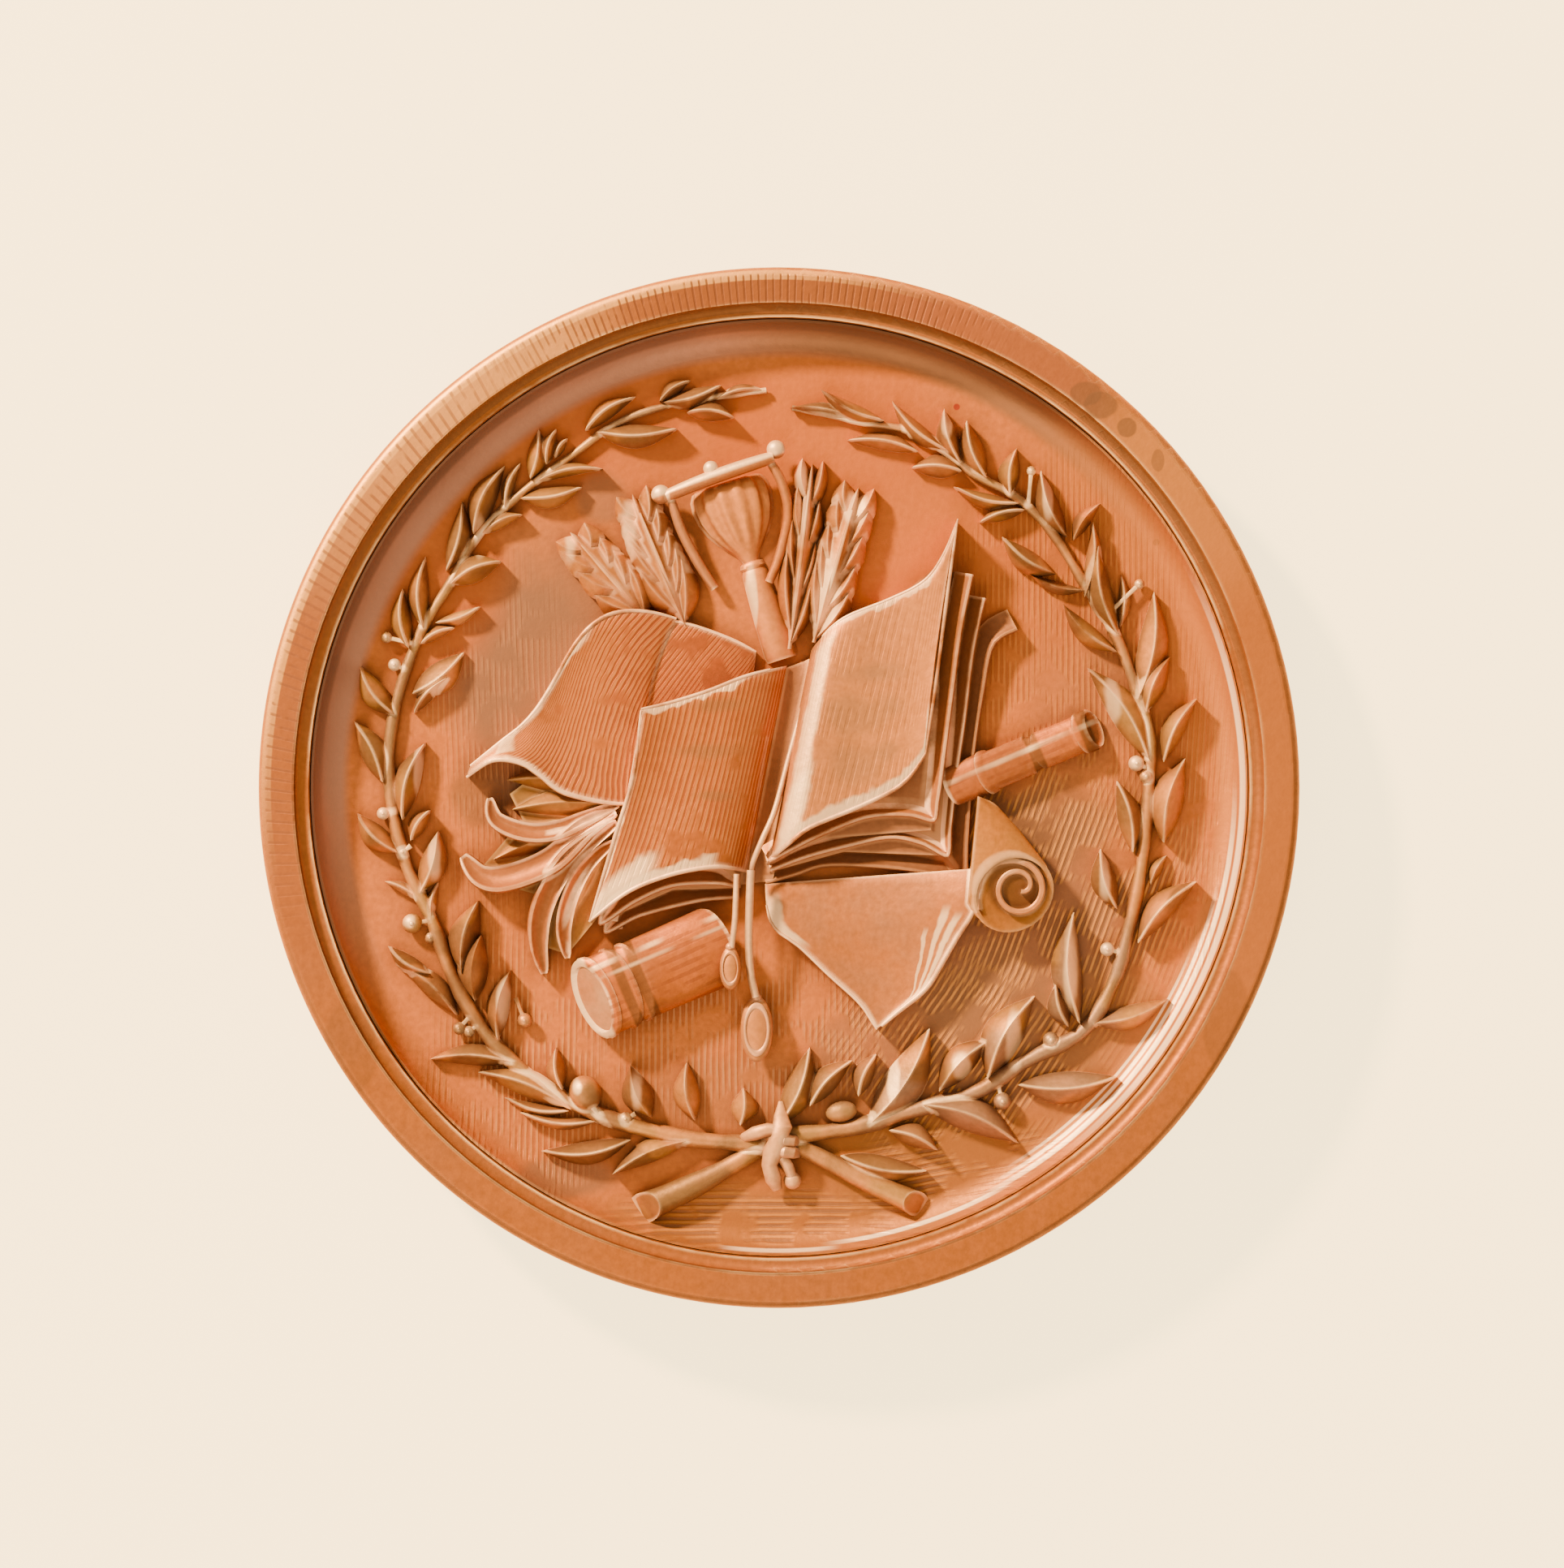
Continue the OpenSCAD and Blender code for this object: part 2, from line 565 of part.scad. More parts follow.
// Everything that stands in front of the quills.
module quill_cover() {
    top = place(GLASS_TOP);
    down = [sin(GLASS_TURN), -cos(GLASS_TURN)];
    across = [cos(GLASS_TURN), sin(GLASS_TURN)];
    book_outline();
    polygon(sheet_outline(PARCHMENT));
    polygon(concat(
        [for (g = GLASS) top + down * g[0] * pct + across * g[1] * pct],
        [for (i = [len(GLASS) - 1 : -1 : 0]) top + down * GLASS[i][0] * pct - across * GLASS[i][1] * pct]
    ));
    for (s = [-1, 1]) hull() {
        translate(top + across * s * 9 * pct) circle(r = 1.4 * pct, $fn = 8);
        translate(top + across * s * 5.1 * pct + down * 15.3 * pct) circle(r = 1.1 * pct, $fn = 8);
    }
    hull() for (s = [-1, 1]) translate(top + across * s * 9.4 * pct) circle(r = 1.4 * pct, $fn = 8);
}

// A quill: a shaft with pairs of barbs that close to a pointed vane.
module quill(q) {
    tip = place([q[0], q[1]]);
    foot = place([q[2], q[3]]);
    len = norm(tip - foot);
    h = q[5] * rise;
    pairs = 5;
    barb = .34 * len;
    on_field() translate(foot) rotate(atan2(tip[1] - foot[1], tip[0] - foot[0])) {
        leaf(len, 1.4 * vane_w * q[4], .5 * h, h);
        for (i = [0 : pairs - 1], s = [-1, 1]) translate([mix(.08, .7, i / (pairs - 1)) * len, 0])
            rotate(s * atan2(.78 * vane_w * q[4], barb * .8)) leaf(barb, .5 * vane_w * q[4], .3 * h, .8 * h);
    }
}

module quill_far_right() {
    color("wheat") difference() {
        quill(QUILL_FAR_RIGHT);
        behind() quill_cover();
    }
}

module quill_right() {
    color("wheat") difference() {
        quill(QUILL_RIGHT);
        behind() quill_cover();
        behind() quill_outline(QUILL_FAR_RIGHT);
    }
}

module quill_left() {
    color("wheat") difference() {
        quill(QUILL_LEFT);
        behind() quill_cover();
    }
}

module quill_left_low() {
    color("wheat") difference() {
        quill(QUILL_LEFT_LOW);
        behind() quill_cover();
        behind() quill_outline(QUILL_LEFT);
    }
}

module quill_outline(q) {
    projection() quill(q);
}

module cord_outline(c) {
    for (i = [0 : 2]) hull() for (j = [i, i + 1]) translate(place(c[j])) circle(d = cord_w, $fn = 8);
    translate(place(c[3]) - [0, .92 * c[5] * pct]) scale([c[4] * pct, c[5] * pct]) circle(r = 1, $fn = 20);
}

// A cord from the book's spine with a seal at its end, laid over the telescope.
module seal(c, seal_h) {
    difference() {
        on_field() {
            for (i = [0 : 2]) hull() for (j = [i, i + 1])
                translate(place(c[j])) post(mix(.95 * relief_h, seal_h, j / 3), cord_w, .6 * cord_w, 8);
            translate(place(c[3]) - [0, .92 * c[5] * pct]) hull() {
                scale([c[4] * pct, c[5] * pct, 1]) post(.7 * seal_h, 2, 2, 20);
                scale([c[4] * pct * .6, c[5] * pct * .7, 1]) post(seal_h, 2, 2, 20);
            }
        }
        behind() book_outline();
        behind(1 + cord_bed + fit_gap) barrel_outline();
    }
}

module seal_long() {
    color("rosybrown") seal(CORD_LONG, .6 * relief_h);
}

module seal_short() {
    color("rosybrown") difference() {
        seal(CORD_SHORT, .95 * relief_h);
        behind() cord_outline(CORD_LONG);
    }
}

rim();
field_plate();
laurel_left();
laurel_right();
laurel_tie();
open_book();
parchment();
curled_leaves();
telescope_barrel();
telescope_eyepiece();
scroll();
hourglass();
quill_left_low();
quill_left();
quill_right();
quill_far_right();
seal_long();
seal_short();
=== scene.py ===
import math
import bmesh
import bpy
from mathutils import Matrix, Vector


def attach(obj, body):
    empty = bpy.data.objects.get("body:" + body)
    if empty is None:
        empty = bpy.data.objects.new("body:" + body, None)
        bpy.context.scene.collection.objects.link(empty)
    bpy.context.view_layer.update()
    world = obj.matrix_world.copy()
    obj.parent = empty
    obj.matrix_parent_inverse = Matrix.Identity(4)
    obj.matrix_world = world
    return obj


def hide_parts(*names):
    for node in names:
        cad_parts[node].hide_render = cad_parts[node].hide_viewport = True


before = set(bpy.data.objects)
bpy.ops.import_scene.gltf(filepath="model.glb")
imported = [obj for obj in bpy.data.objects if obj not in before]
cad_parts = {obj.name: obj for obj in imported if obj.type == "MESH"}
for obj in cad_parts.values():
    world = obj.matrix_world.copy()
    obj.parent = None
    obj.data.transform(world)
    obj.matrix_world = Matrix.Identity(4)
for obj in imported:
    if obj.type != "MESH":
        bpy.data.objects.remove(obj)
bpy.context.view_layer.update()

# The stage: a plain pale floor that gives off a little light, as paper does, a camera straight
# above the medallion, and soft studio light from the upper left, as the relief is shaded in
# the drawing.
FLOOR_RADIUS = 0.9
FOCAL_LENGTH, SENSOR_WIDTH = 120, 36
# in metres: the middle of the picture, the height of the relief and the picture's width there
PICTURE_MIDDLE, RELIEF_HEIGHT, PICTURE_WIDTH = (0.000175, 0.000225), 0.0044, 0.0966
scene = bpy.context.scene
floor_mesh = bpy.data.meshes.new("floor")
floor_bm = bmesh.new()
bmesh.ops.create_circle(floor_bm, cap_ends=True, radius=FLOOR_RADIUS, segments=64)
bmesh.ops.recalc_face_normals(floor_bm, faces=floor_bm.faces[:])
floor_bm.to_mesh(floor_mesh)
floor_bm.free()
floor = bpy.data.objects.new("floor", floor_mesh)
scene.collection.objects.link(floor)
floor_paint = bpy.data.materials.new("pale_floor")
floor_paint.use_nodes = True
floor_shader = floor_paint.node_tree.nodes["Principled BSDF"]
floor_shader.inputs["Base Color"].default_value = (0.62, 0.44, 0.23, 1)
floor_shader.inputs["Emission Color"].default_value = (1.0, 0.76, 0.38, 1)
floor_shader.inputs["Emission Strength"].default_value = 3.8
floor_shader.inputs["Roughness"].default_value = 0.85
floor_shader.inputs["Specular IOR Level"].default_value = 0.2
floor_mesh.materials.append(floor_paint)

camera = bpy.data.objects.new("camera", bpy.data.cameras.new("camera"))
camera.data.lens = FOCAL_LENGTH
camera.data.sensor_width = SENSOR_WIDTH
camera.data.clip_start = 0.01
camera.data.clip_end = 5
camera.location = (*PICTURE_MIDDLE, RELIEF_HEIGHT + PICTURE_WIDTH * FOCAL_LENGTH / SENSOR_WIDTH)
scene.collection.objects.link(camera)
scene.camera = camera


def soft_light(name, place, size, watts, colour):
    """A round studio light that faces the medallion."""
    lamp = bpy.data.lights.new(name, "AREA")
    lamp.shape = "DISK"
    lamp.size = size
    lamp.energy = watts
    lamp.color = colour
    holder = bpy.data.objects.new(name, lamp)
    holder.location = place
    holder.rotation_euler = Vector(place).to_track_quat("Z", "Y").to_euler()
    scene.collection.objects.link(holder)


soft_light("key_light", (-0.38, 0.40, 0.32), 0.07, 18.2, (1.0, 0.74, 0.40))
soft_light("fill_light", (-0.14, -0.34, 0.44), 0.4, 2.3, (1.0, 0.74, 0.44))
sky = bpy.data.worlds.new("studio")
sky.use_nodes = True
sky.node_tree.nodes["Background"].inputs["Color"].default_value = (1.0, 0.88, 0.66, 1)
sky.node_tree.nodes["Background"].inputs["Strength"].default_value = 0.94
scene.world = sky


# The rim: a turned bronze ring with a flat band, a rounded outer edge, a hollow moulding and
# a thin fillet. It is cast, then turned on a lathe, and rubbed bright along its edges. Painted
# light makes its band and outer edge paler at the upper left, and painted shade darkens its outer
# edge at the lower right and its hollow moulding along the top. Part of its band is reeded with
# fine cuts, and a few drops have stained it.
def node_of(tree, kind, values, **settings):
    """A shader node with its settings. Each value is set on its input, or linked if it is an output."""
    node = tree.nodes.new("ShaderNode" + kind)
    for name, setting in settings.items():
        setattr(node, name, setting)
    for name, value in values.items():
        if isinstance(value, bpy.types.NodeSocket):
            tree.links.new(value, node.inputs[name])
        else:
            node.inputs[name].default_value = value
    return node


def wear_group():
    """Bronze patina: dark in the hollows, rubbed pale on edges and high places, mottled between."""
    group = bpy.data.node_groups.new("bronze_wear", "ShaderNodeTree")
    for name, kind, value in (
        ("Metal", "NodeSocketColor", (0.55, 0.18, 0.06, 1)),
        ("Rubbed", "NodeSocketColor", (0.86, 0.48, 0.26, 1)),
        ("Hollow", "NodeSocketColor", (0.10, 0.03, 0.015, 1)),
        ("Tarnish", "NodeSocketColor", (0.36, 0.17, 0.11, 1)),
        ("Tarnish Amount", "NodeSocketFloat", 0.5),
        ("Edge Amount", "NodeSocketFloat", 0.7),
        ("Hollow Amount", "NodeSocketFloat", 0.8),
        ("Mottle Scale", "NodeSocketFloat", 160.0),
    ):
        socket = group.interface.new_socket(name, in_out="INPUT", socket_type=kind)
        socket.default_value = value
    group.interface.new_socket("Color", in_out="OUTPUT", socket_type="NodeSocketColor")
    group.interface.new_socket("Roughness", in_out="OUTPUT", socket_type="NodeSocketFloat")
    group.interface.new_socket("Height", in_out="OUTPUT", socket_type="NodeSocketFloat")
    given = group.nodes.new("NodeGroupInput").outputs
    result = group.nodes.new("NodeGroupOutput").inputs
    place = node_of(group, "TexCoord", {}).outputs["Object"]

    def math_of(kind, *values):
        return node_of(group, "Math", dict(enumerate(values)), operation=kind).outputs[0]

    def spread(value, low, high, **ends):
        limits = {"Value": value, "From Min": low, "From Max": high}
        limits.update({"To " + end: to for end, to in ends.items()})
        return node_of(group, "MapRange", limits).outputs["Result"]

    def mixed(amount, first, second):
        values = {"Factor": amount, "A": first, "B": second}
        return node_of(group, "Mix", values, data_type="RGBA").outputs["Result"]

    # mottled tarnish over the metal, then the fine grain of the casting
    mottle_look = {"Vector": place, "Scale": given["Mottle Scale"], "Detail": 6, "Roughness": 0.62}
    mottle = node_of(group, "TexNoise", mottle_look).outputs["Fac"]
    patches = math_of("MULTIPLY", spread(mottle, 0.42, 0.68), given["Tarnish Amount"])
    tarnished = mixed(patches, given["Metal"], given["Tarnish"])
    grain = node_of(group, "TexNoise", {"Vector": place, "Scale": 2600, "Detail": 3}).outputs["Fac"]
    grain_look = {0: tarnished, "Scale": spread(grain, 0.3, 0.7, Min=0.86, Max=1.1)}
    grained = node_of(group, "VectorMath", grain_look, operation="SCALE").outputs["Vector"]

    # dark patina where the surface is closed in
    hollow = node_of(group, "AmbientOcclusion", {"Distance": 0.0016}, samples=2).outputs["AO"]
    hollow_share = math_of("MULTIPLY", spread(hollow, 0.95, 0.35), given["Hollow Amount"])
    darkened = mixed(hollow_share, grained, given["Hollow"])

    # bright metal on the edges, broken where the mottle is low
    edge_look = {"samples": 2, "inside": True, "only_local": True}
    edge = node_of(group, "AmbientOcclusion", {"Distance": 0.00022}, **edge_look).outputs["AO"]
    edge_mix = math_of("MULTIPLY", spread(edge, 0.95, 0.5), spread(mottle, 0.36, 0.54))
    edge_share = math_of("MULTIPLY", edge_mix, given["Edge Amount"])
    group.links.new(mixed(edge_share, darkened, given["Rubbed"]), result["Color"])

    rough = spread(mottle, 0, 1, Min=0.38, Max=0.60)
    group.links.new(math_of("MULTIPLY_ADD", hollow_share, 0.2, rough), result["Roughness"])
    group.links.new(math_of("MULTIPLY_ADD", mottle, 1.6, grain), result["Height"])
    return group


bronze_wear = wear_group()
DARK_HOLLOW, BROWN_TARNISH = (0.112, 0.038, 0.019), (0.252, 0.087, 0.038)


def bronze(name, metal, rubbed, hollow=DARK_HOLLOW, tarnish=BROWN_TARNISH, *, amounts, metallic=0.55):
    """A bronze finish: its colours, and its amounts of tarnish, edge wear and hollow patina."""
    finish = bpy.data.materials.new(name)
    finish.use_nodes = True
    tree = finish.node_tree
    shader = tree.nodes["Principled BSDF"]
    shader.inputs["Metallic"].default_value = metallic
    shader.inputs["Specular Tint"].default_value = (1.0, 0.70, 0.36, 1)
    wear = tree.nodes.new("ShaderNodeGroup")
    wear.name = "wear"
    wear.node_tree = bronze_wear
    for socket, colour in (("Metal", metal), ("Rubbed", rubbed), ("Hollow", hollow), ("Tarnish", tarnish)):
        wear.inputs[socket].default_value = (*colour, 1)
    for socket, amount in zip(("Tarnish Amount", "Edge Amount", "Hollow Amount"), amounts):
        wear.inputs[socket].default_value = amount
    skin = {"Strength": 0.35, "Distance": 0.00006, "Height": wear.outputs["Height"]}
    bump = node_of(tree, "Bump", skin, name="bump")
    tree.links.new(wear.outputs["Color"], shader.inputs["Base Color"])
    tree.links.new(wear.outputs["Roughness"], shader.inputs["Roughness"])
    tree.links.new(bump.outputs["Normal"], shader.inputs["Normal"])
    return finish


def joined(finish, kind, first, second=0):
    """Two masks, or a mask and a number, joined by a math node."""
    return node_of(finish.node_tree, "Math", {0: first, 1: second}, operation=kind).outputs[0]


def cover(finish, mask, colour, share, bare=False):
    """Lays a colour where the mask is set: over the finish, or on the bare metal under its patina."""
    tree = finish.node_tree
    node, socket = ("wear", "Metal") if bare else ("Principled BSDF", "Base Color")
    target = tree.nodes[node].inputs[socket]
    under = target.links[0].from_socket if target.is_linked else target.default_value
    values = {"Factor": joined(finish, "MULTIPLY", mask, share), "A": under, "B": (*colour, 1)}
    tree.links.new(node_of(tree, "Mix", values, data_type="RGBA").outputs["Result"], target)


def ranged(finish, value, low, high):
    """A mask that rises smoothly from 0 to 1 between two values."""
    limits = {"Value": value, "From Min": low, "From Max": high}
    return node_of(finish.node_tree, "MapRange", limits, interpolation_type="SMOOTHSTEP").outputs["Result"]


def object_place(finish, turn=0.0, kind="Object"):
    """The place on the piece, in metres, or on a sheet's own rows, turned in plan."""
    place = node_of(finish.node_tree, "TexCoord", {}).outputs[kind]
    turned = {"Vector": place, "Rotation": (0, 0, math.radians(turn))}
    return node_of(finish.node_tree, "Mapping", turned).outputs["Vector"]


def vector_of(finish, kind, *values):
    """A place that is moved, scaled or made a direction by a vector math node."""
    return node_of(finish.node_tree, "VectorMath", dict(enumerate(values)), operation=kind).outputs["Vector"]


def number_of(finish, kind, *values):
    """The length of a place, or how far one direction follows another."""
    return node_of(finish.node_tree, "VectorMath", dict(enumerate(values)), operation=kind).outputs["Value"]


def noise_on(finish, scale, detail=2):
    """Soft noise over a piece."""
    values = {"Vector": object_place(finish), "Scale": scale, "Detail": detail}
    return node_of(finish.node_tree, "TexNoise", values).outputs["Fac"]


def swing(finish, noise, reach):
    """Noise turned into a number that swings by half the reach to each side of nothing."""
    return joined(finish, "MULTIPLY", joined(finish, "SUBTRACT", noise, 0.5), reach)


def spot_mask(finish, x, y, half_x, half_y, soft=0.6, ragged=0.5):
    """A mask for one ragged patch: its centre and half sizes in mm."""
    away = vector_of(finish, "SUBTRACT", object_place(finish), (0.001 * x, 0.001 * y, 0))
    scaled = vector_of(finish, "MULTIPLY", away, (1000 / half_x, 1000 / half_y, 0))
    wavering = swing(finish, noise_on(finish, 420 / max(half_x, half_y) ** 0.5, 3), 2 * ragged)
    distance = joined(finish, "ADD", number_of(finish, "LENGTH", scaled), wavering)
    return ranged(finish, distance, 1.0 + 0.5 * soft, 1.0 - 0.5 * soft)


def ring_mask(finish, radius, half_width, heading, spread, soft):
    """A mask along part of a ring: its radius and half width in mm, its middle and half angle in degrees."""
    flat = vector_of(finish, "MULTIPLY", object_place(finish), (1000, 1000, 0))
    off = joined(finish, "ABSOLUTE", joined(finish, "SUBTRACT", number_of(finish, "LENGTH", flat), radius))
    across = ranged(finish, off, half_width, (1 - soft) * half_width)
    middle = (math.cos(math.radians(heading)), math.sin(math.radians(heading)), 0)
    nearness = number_of(finish, "DOT_PRODUCT", vector_of(finish, "NORMALIZE", flat), middle)
    end, full = math.cos(math.radians(spread)), math.cos(math.radians(0.45 * spread))
    return joined(finish, "MULTIPLY", across, ranged(finish, nearness, end, full))


def cut_in(finish, drawn, depth):
    """Sinks a finish's bump where strokes are drawn."""
    height = finish.node_tree.nodes["bump"].inputs["Height"]
    under = height.links[0].from_socket
    cut = joined(finish, "ADD", joined(finish, "MULTIPLY", drawn, -depth), under)
    finish.node_tree.links.new(cut, height)


def reed(finish, count, slant, colour, share, depth, mask):
    """Fine strokes across a ring's band, as many as the count all the way round."""
    place = object_place(finish)
    turn = node_of(finish.node_tree, "TexGradient", {"Vector": place}, gradient_type="RADIAL").outputs["Fac"]
    around = joined(finish, "MULTIPLY", turn, 2 * math.pi * count)
    outward = joined(finish, "MULTIPLY", number_of(finish, "LENGTH", place), slant)
    slanted = joined(finish, "ADD", around, outward)
    lines = ranged(finish, joined(finish, "SINE", slanted), 0.35, 0.9)
    broken = joined(finish, "MULTIPLY", lines, ranged(finish, noise_on(finish, 700), 0.34, 0.5))
    drawn = joined(finish, "MULTIPLY", broken, mask)
    cover(finish, drawn, colour, share)
    cut_in(finish, drawn, depth)


SMOKE, UMBER = (0.14, 0.062, 0.031), (0.098, 0.042, 0.02)
# the middle of the flat band, in mm from the centre, and the half width that its finish covers
BAND, BAND_HALF = 30.7, 1.1
rim_finish = bronze("rim_bronze", (0.35, 0.096, 0.015), (1.0, 0.62, 0.28), amounts=(0.35, 0.8, 0.7))
# part of a ring: radius and half width in mm, middle and half angle in degrees, colour, strength
for radius, half_width, heading, spread, colour, share in (
    # painted light: the band is paler at the upper left
    (BAND, BAND_HALF, 134, 28, (0.756, 0.353, 0.101), 0.6),
    (BAND, BAND_HALF, 88, 24, (0.25, 0.070, 0.020), 0.85),
    (BAND, BAND_HALF, 170, 40, (0.29, 0.080, 0.026), 0.5),
    (BAND, BAND_HALF, 64, 17, (0.322, 0.087, 0.035), 0.55),
    (BAND, BAND_HALF, 36, 16, (0.605, 0.216, 0.043), 0.5),
    # painted highlight on the outer edge at the upper left
    (31.5, 0.35, 130, 62, (0.86, 0.40, 0.10), 0.7),
    (BAND, BAND_HALF, 0, 40, (0.44, 0.125, 0.024), 0.6),
    # painted shade in the hollow moulding, along the top
    (29.5, 0.28, 80, 100, (0.105, 0.043, 0.018), 0.6),
    (29.82, 0.12, 230, 150, (0.091, 0.029, 0.013), 0.55),
    # painted shadow on the outer edge at the lower right
    (31.75, 0.2, 300, 130, (0.112, 0.038, 0.015), 0.5),
):
    cover(rim_finish, ring_mask(rim_finish, radius, half_width, heading, spread, 0.3), colour, share)
# reeding: strokes round the whole ring, slant, colour, strength, depth, middle and half angle
for count, slant, colour, share, depth, heading, spread in (
    (430, 0.0, (0.17, 0.050, 0.020), 0.85, 1.2, 94, 34),
    (300, 1400.0, (0.224, 0.07, 0.029), 0.68, 1.0, 158, 44),
):
    reeded = ring_mask(rim_finish, 30.65, 0.95, heading, spread, 0.15)
    reed(rim_finish, count, slant, colour, share, depth, reeded)
# stains: x, y, half width and half height in mm, colour, strength
for x, y, half_x, half_y, colour, share in (
    (18.8, 24.2, 0.9, 0.75, SMOKE, 0.55),
    (19.7, 23.5, 1.1, 0.85, SMOKE, 0.6),
    (21.35, 22.1, 0.62, 0.6, SMOKE, 0.65),
    (23.25, 20.1, 0.36, 0.62, SMOKE, 0.5),
    (-26.5, -16.0, 1.6, 3.0, UMBER, 0.25),
    (27.5, -14.5, 1.4, 3.6, UMBER, 0.22),
):
    cover(rim_finish, spot_mask(rim_finish, x, y, half_x, half_y, 0.2, 0.35), colour, share)
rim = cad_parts["rim"]
rim.data.materials.clear()
rim.data.materials.append(rim_finish)


# The plate: one disc cast with a flat field and a cove that rises to the rim. The field keeps
# the fine skin of the casting; mauve tarnish has spread on it in patches, and its ground is
# hatched with chased strokes. The cove has painted shade at the upper left and along the top,
# and painted highlight strokes at the lower right.
def chase(finish, kind, turn, lines, colour, share, depth, wobble, mask=None, ridge=None, gaps=0.40):
    """Chased strokes on a finish: broken parallel lines, in object space or along a sheet's rows.
    A ridge colour marks the metal left standing between them; more gaps break the strokes up."""
    look = {"Scale": lines, "Distortion": wobble, "Detail": 2, "Detail Scale": 0.6}
    look["Vector"] = object_place(finish, turn, kind)
    wave = node_of(finish.node_tree, "TexWave", look).outputs["Fac"]
    breaks = noise_on(finish, 520)
    broken = ranged(finish, breaks, gaps, gaps + 0.16)
    level = joined(finish, "ADD", wave, swing(finish, breaks, 1.1))
    if mask:
        broken = joined(finish, "MULTIPLY", broken, mask)
    drawn = joined(finish, "MULTIPLY", ranged(finish, level, 0.62, 0.85), broken)
    if ridge:
        standing = joined(finish, "MULTIPLY", ranged(finish, level, 0.45, 0.20), broken)
        cover(finish, standing, ridge, share)
    cover(finish, drawn, colour, share)
    cut_in(finish, drawn, depth)


MAUVE, RUSSET, CHERRY = (0.21, 0.091, 0.05), (0.392, 0.087, 0.014), (0.28, 0.017, 0.006)
field_finish = bronze(
    "field_bronze", (0.530, 0.140, 0.024), (0.72, 0.38, 0.15), amounts=(0.22, 0.4, 0.85), metallic=0.45)
# patches of tarnish: x, y, half width and half height in mm, colour, strength
for x, y, half_x, half_y, colour, share in (
    (-15.0, 6.2, 4.8, 8.6, MAUVE, 0.95), (-14.5, 2.5, 3.4, 5.4, MAUVE, 0.6),
    (-8.5, 22.0, 8.0, 4.0, RUSSET, 0.6), (-21.0, 12.0, 4.0, 6.0, RUSSET, 0.5),
    (-18.6, -0.3, 1.8, 2.4, SMOKE, 0.6), (-11.0, 18.0, 1.6, 1.5, MAUVE, 0.6),
    (-13.2, -24.2, 3.2, 1.3, MAUVE, 0.7), (14.5, -10.0, 7.5, 9.5, MAUVE, 0.8),
    (18.5, 6.0, 3.0, 6.0, MAUVE, 0.3), (0.0, -27.0, 10.0, 2.8, (0.30, 0.095, 0.018), 0.9),
    (10.5, -23.5, 9.5, 4.2, (0.27, 0.090, 0.020), 0.9), (13.0, -15.5, 7.0, 4.5, (0.24, 0.100, 0.045), 0.75),
    (20.0, -16.5, 4.0, 5.0, (0.30, 0.112, 0.034), 0.5), (3.5, 22.0, 8.5, 4.5, (0.49, 0.105, 0.013), 0.55),
    (11.5, 13.5, 7.5, 8.0, (0.45, 0.105, 0.014), 0.55), (2.0, -19.0, 10.0, 2.4, SMOKE, 0.35),
    (16.5, -2.0, 4.0, 2.4, SMOKE, 0.5), (5.0, -16.2, 3.4, 2.4, MAUVE, 0.5),
):
    cover(field_finish, spot_mask(field_finish, x, y, half_x, half_y), colour, share)
for x, y, radius, colour in ((11.0, 23.6, 0.2, CHERRY), (23.35, 15.2, 0.2, UMBER)):
    cover(field_finish, spot_mask(field_finish, x, y, radius, radius, 0.3, 0.0), colour, 0.9)
# chased strokes: lean to the right in degrees, fineness, colour of the cut and of the ridge,
# strength, centre and half sizes in mm
STROKE_DEPTH, STROKE_WOBBLE = 2.0, 0.9
for lean, lines, cut, ridge, share, x, y, half_x, half_y in (
    (0, 820, (0.294, 0.073, 0.021), (0.49, 0.21, 0.091), 0.55, -1.0, -15.5, 9.0, 4.5),
    (1, 860, (0.308, 0.077, 0.021), (0.636, 0.266, 0.096), 0.5, -16.0, -18.0, 4.5, 7.0),
    (0, 900, (0.28, 0.07, 0.017), (0.574, 0.196, 0.042), 0.5, 18.5, 9.0, 6.5, 10.0),
    (20, 800, (0.192, 0.08, 0.038), (0.654, 0.258, 0.053), 0.9, 17.0, -6.5, 7.5, 7.5),
    (34, 780, (0.192, 0.08, 0.038), (0.638, 0.251, 0.053), 0.9, 11.5, -16.5, 8.0, 5.0),
    (-2, 900, (0.28, 0.084, 0.035), (0.504, 0.21, 0.084), 0.35, -17.0, 3.0, 4.5, 9.0),
    (90, 700, (0.231, 0.091, 0.042), (0.532, 0.196, 0.042), 0.85, 0.0, -26.8, 8.5, 2.0),
    (80, 720, (0.224, 0.091, 0.042), (0.532, 0.196, 0.042), 0.8, 12.0, -23.6, 6.0, 2.2),
    (4, 940, (0.35, 0.112, 0.035), (0.602, 0.252, 0.07), 0.4, 26.2, -1.0, 1.8, 9.0),
):
    hatched = spot_mask(field_finish, x, y, half_x, half_y, 0.9)
    chase(field_finish, "Object", lean, lines, cut, share, STROKE_DEPTH, STROKE_WOBBLE, hatched, ridge)
# the colours of the cove's painted highlight strokes and of the painted shade lines between them
GLINT, SHADE = (1.0, 0.72, 0.50), (0.35, 0.098, 0.025)
